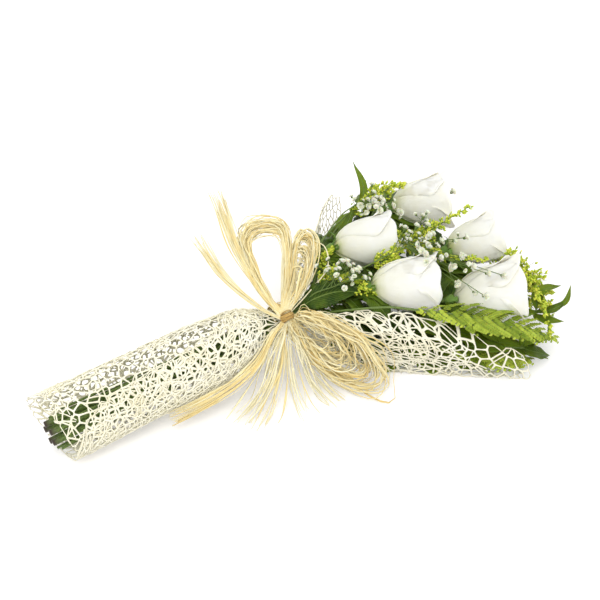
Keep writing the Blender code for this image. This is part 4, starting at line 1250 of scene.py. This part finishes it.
def solidago_sprays():
    rows = green_stems(SOLIDAGO_SPRAYS, 20, (1.1, 0.7), 8, 0.3)
    for number, rng, shape, path, _, plumes in rows:
        for points, width in plumes:
            spine = smooth_path([on_path(path, points[0]), *points[1:]], 30)
            tube(shape, spine, blend(0.7, 0.3, np.linspace(0, 1, 30)), 6, skin=1, tone=0.2)
            ahead = unit(np.gradient(spine, axis=0))
            for k in range(TWIGS):
                t = (k + 0.5) / TWIGS
                at = min(int(t * 29), 28)
                full = width * 0.85 * math.sin(math.pi * min(0.15 + t**0.7, 0.97)) + 1.5
                root = spine[at]
                side = unit(np.cross(ahead[at], rng.normal(size=3)))
                tip = root + side * full + ahead[at] * full * 0.7
                twig = smooth_path([root, root + side * full * 0.55 + ahead[at] * 1.0, tip], 4)
                tube(shape, twig, 0.22, 3, skin=1, tone=0.1)
                for _ in range(int(5 + width * 0.32)):
                    s = rng.uniform(0.1, 1.0)
                    step = int(s * 2.99)
                    spot = blend(twig[step], twig[step + 1], s * 3 % 1)
                    spot = spot + rng.normal(size=3) * 0.7
                    bud(shape, spot, unit(ahead[at] + side * 0.5 + rng.normal(size=3) * 0.5),
                        rng.uniform(2.4, 3.8), rng.uniform(0.9, 1.35), rng.uniform(0.2, 0.95))
        shape.make_for(f"solidago_spray_{number}", "florets", [SOLIDAGO, STEM], "solidago")


def pom(shape, centre, radius, way, rng):
    """A double flower: notched petals in crowded whorls over a green cup."""
    way = unit(way)
    side = unit(np.cross(way, rng.normal(size=3)))
    other = np.cross(way, side)
    for whorl, (count, tilt, share) in enumerate(((7, 1.35, 1.0), (7, 0.95, 0.92), (5, 0.5, 0.8))):
        for k in range(count):
            turn = 2 * math.pi * (k + 0.5 * whorl) / count + rng.uniform(-0.25, 0.25)
            out = side * math.cos(turn) + other * math.sin(turn)
            lean = tilt + rng.uniform(-0.2, 0.2)
            tip = way * math.cos(lean) + out * math.sin(lean)
            path = centre + np.outer((0.12, 0.5, 0.85, 1.05), tip) * radius * share
            path[-1] += (way * 0.5 - out * 0.1) * radius * 0.25
            wide = np.array((0.25, 0.62, 0.85, 0.55)) * radius
            strip(shape, path, wide, way * math.sin(lean) - out * math.cos(lean),
                  rng.uniform(0.35, 1.0), 2, 0.25)
    cup = centre - np.outer((0.75, 0.45, 0.1, -0.15), way) * radius
    tube(shape, cup, np.array((0.15, 0.4, 0.42, 0.3)) * radius, 6, look=side, skin=1, tone=0.3)


def gypsophila_sprays():
    rows = green_stems(GYPSOPHILA_SPRAYS, 90, (0.95, 0.5), 7, 0.3)
    for number, rng, shape, path, passes, tips in rows:
        fork, last = np.array(passes[-2:], float)
        for i, tip in enumerate(np.array(tips, float)):
            root = on_path(path, blend(fork, last, min(0.4 + 0.2 * i, 1)))
            way = unit(tip - root)
            pom(shape, tip, rng.uniform(3.2, 4.4), way + UP * 0.5, rng)
            line = smooth_path([root, (root + tip) / 2 + UP * rng.uniform(0.5, 2), tip], 10)
            tube(shape, line, 0.4, 5, skin=1, tone=0.3)
            for _ in range(3):
                start = line[rng.integers(2, 9)]
                reach = rng.uniform(6, 15)
                spot = start + unit(way + rng.normal(size=3) * 0.8 + UP * 0.2) * reach
                spot[2] = min(spot[2], 94.0)
                pom(shape, spot, rng.uniform(2.0, 3.4), spot - start + UP * 3, rng)
                tube(shape, smooth_path([start, (start + spot) / 2 - UP * 0.8, spot], 6), 0.25, 4,
                     skin=1, tone=0.3)
        shape.make_for(f"gypsophila_spray_{number}", "florets", [GYPSOPHILA, STEM], "gypsophila")


# The camera and the studio

CAMERA_AZIMUTH = math.radians(-31.9)
CAMERA_ELEVATION = math.radians(45.0)
CAMERA_AWAY = 1.32
CAMERA_RIGHT = 0.0112  # how far right of the waist the camera aims
CAMERA_UP = 0.015  # and how far above it
FLOOR_REACH = 6.0
FLOOR_LEVEL = -0.0002
FLOOR_GLOW = 0.2
SKY_LIGHT = 0.93
LAMPS_AIM = Vector((0, 0, 0.03))
# Each lamp: name, place, size, power and colour.
LAMPS = (
    ("key", (-0.7, -0.8, 1.8), 1.0, 17.5, (1.0, 0.985, 0.95)),
    ("fill", (1.4, -0.9, 1.2), 1.4, 4.0, (0.97, 0.98, 1.0)),
    ("rim", (0.5, 1.5, 1.3), 1.2, 4.0, (1.0, 1.0, 1.0)),
)


def placed(name, data, where, way=None):
    """A new object at where, which looks along way."""
    made = bpy.data.objects.new(name, data)
    bpy.context.scene.collection.objects.link(made)
    made.location = where
    if way is not None:
        made.rotation_mode = "QUATERNION"
        made.rotation_quaternion = way.to_track_quat("-Z", "Y")
    return made


def camera():
    level = math.cos(CAMERA_ELEVATION)
    back = Vector((math.sin(CAMERA_AZIMUTH) * level, -math.cos(CAMERA_AZIMUTH) * level,
                   math.sin(CAMERA_ELEVATION)))
    right = Vector((math.cos(CAMERA_AZIMUTH), math.sin(CAMERA_AZIMUTH), 0))
    target = Vector((WAIST[0], WAIST[1], WAIST_HEIGHT * MM)) + right * CAMERA_RIGHT
    target = target + back.cross(right) * CAMERA_UP
    lens = bpy.data.cameras.new("camera")
    lens.lens = 85.0
    lens.sensor_width = 36.0
    lens.clip_start = 0.05
    lens.clip_end = 50.0
    bpy.context.scene.camera = placed("camera", lens, target + back * CAMERA_AWAY, -back)


def floor():
    """A pale floor that looks white to the camera but keeps the shadow on it."""
    mesh = bpy.data.meshes.new("floor")
    r = FLOOR_REACH
    mesh.from_pydata([(-r, -r, 0), (r, -r, 0), (r, r, 0), (-r, r, 0)], [], [(0, 1, 2, 3)])
    pale = Skin("floor_skin", 0.9, Specular_IOR_Level=0.0)
    pale.plug(pale.shader, "Base Color", (0.90, 0.89, 0.90))
    ray = pale.node("LightPath").outputs
    seen = pale.math("ADD", ray["Is Camera Ray"], ray["Is Glossy Ray"])
    light = pale.math("MULTIPLY", seen, FLOOR_GLOW)
    glow = pale.node("Emission", {"Color": (1, 1, 1), "Strength": light})
    both = pale.node("AddShader", {0: pale.shader.outputs[0], 1: glow.outputs[0]})
    pale.plug(pale.tree.nodes["Material Output"], "Surface", both.outputs[0])
    mesh.materials.append(pale.material)
    placed("floor", mesh, (0, 0, FLOOR_LEVEL))


def sky():
    """White to the camera and a little less to everything else."""
    world = bpy.data.worlds.new("world")
    bpy.context.scene.world = world
    world.use_nodes = True
    nodes = world.node_tree.nodes
    nodes.clear()
    ray, strength, light, output = (nodes.new(f"ShaderNode{kind}") for kind in (
        "LightPath", "MapRange", "Background", "OutputWorld"))
    light.inputs["Color"].default_value = (1, 1, 1, 1)
    strength.inputs[3].default_value = SKY_LIGHT
    for source, target in (
        (ray.outputs["Is Camera Ray"], strength.inputs[0]),
        (strength.outputs[0], light.inputs["Strength"]),
        (light.outputs[0], output.inputs["Surface"]),
    ):
        world.node_tree.links.new(source, target)


def lamps():
    for name, where, size, power, tint in LAMPS:
        lamp = bpy.data.lights.new(name, "AREA")
        lamp.size = size
        lamp.energy = power
        lamp.color = tint
        placed(name, lamp, where, LAMPS_AIM - Vector(where))


bpy.context.scene.view_settings.view_transform = "Standard"
camera()
floor()
sky()
lamps()
roses()
net()
raffia_loops()
raffia_tails()
bindings()
fern_fronds()
ruscus_sprigs()
rose_leaves()
solidago_sprays()
gypsophila_sprays()
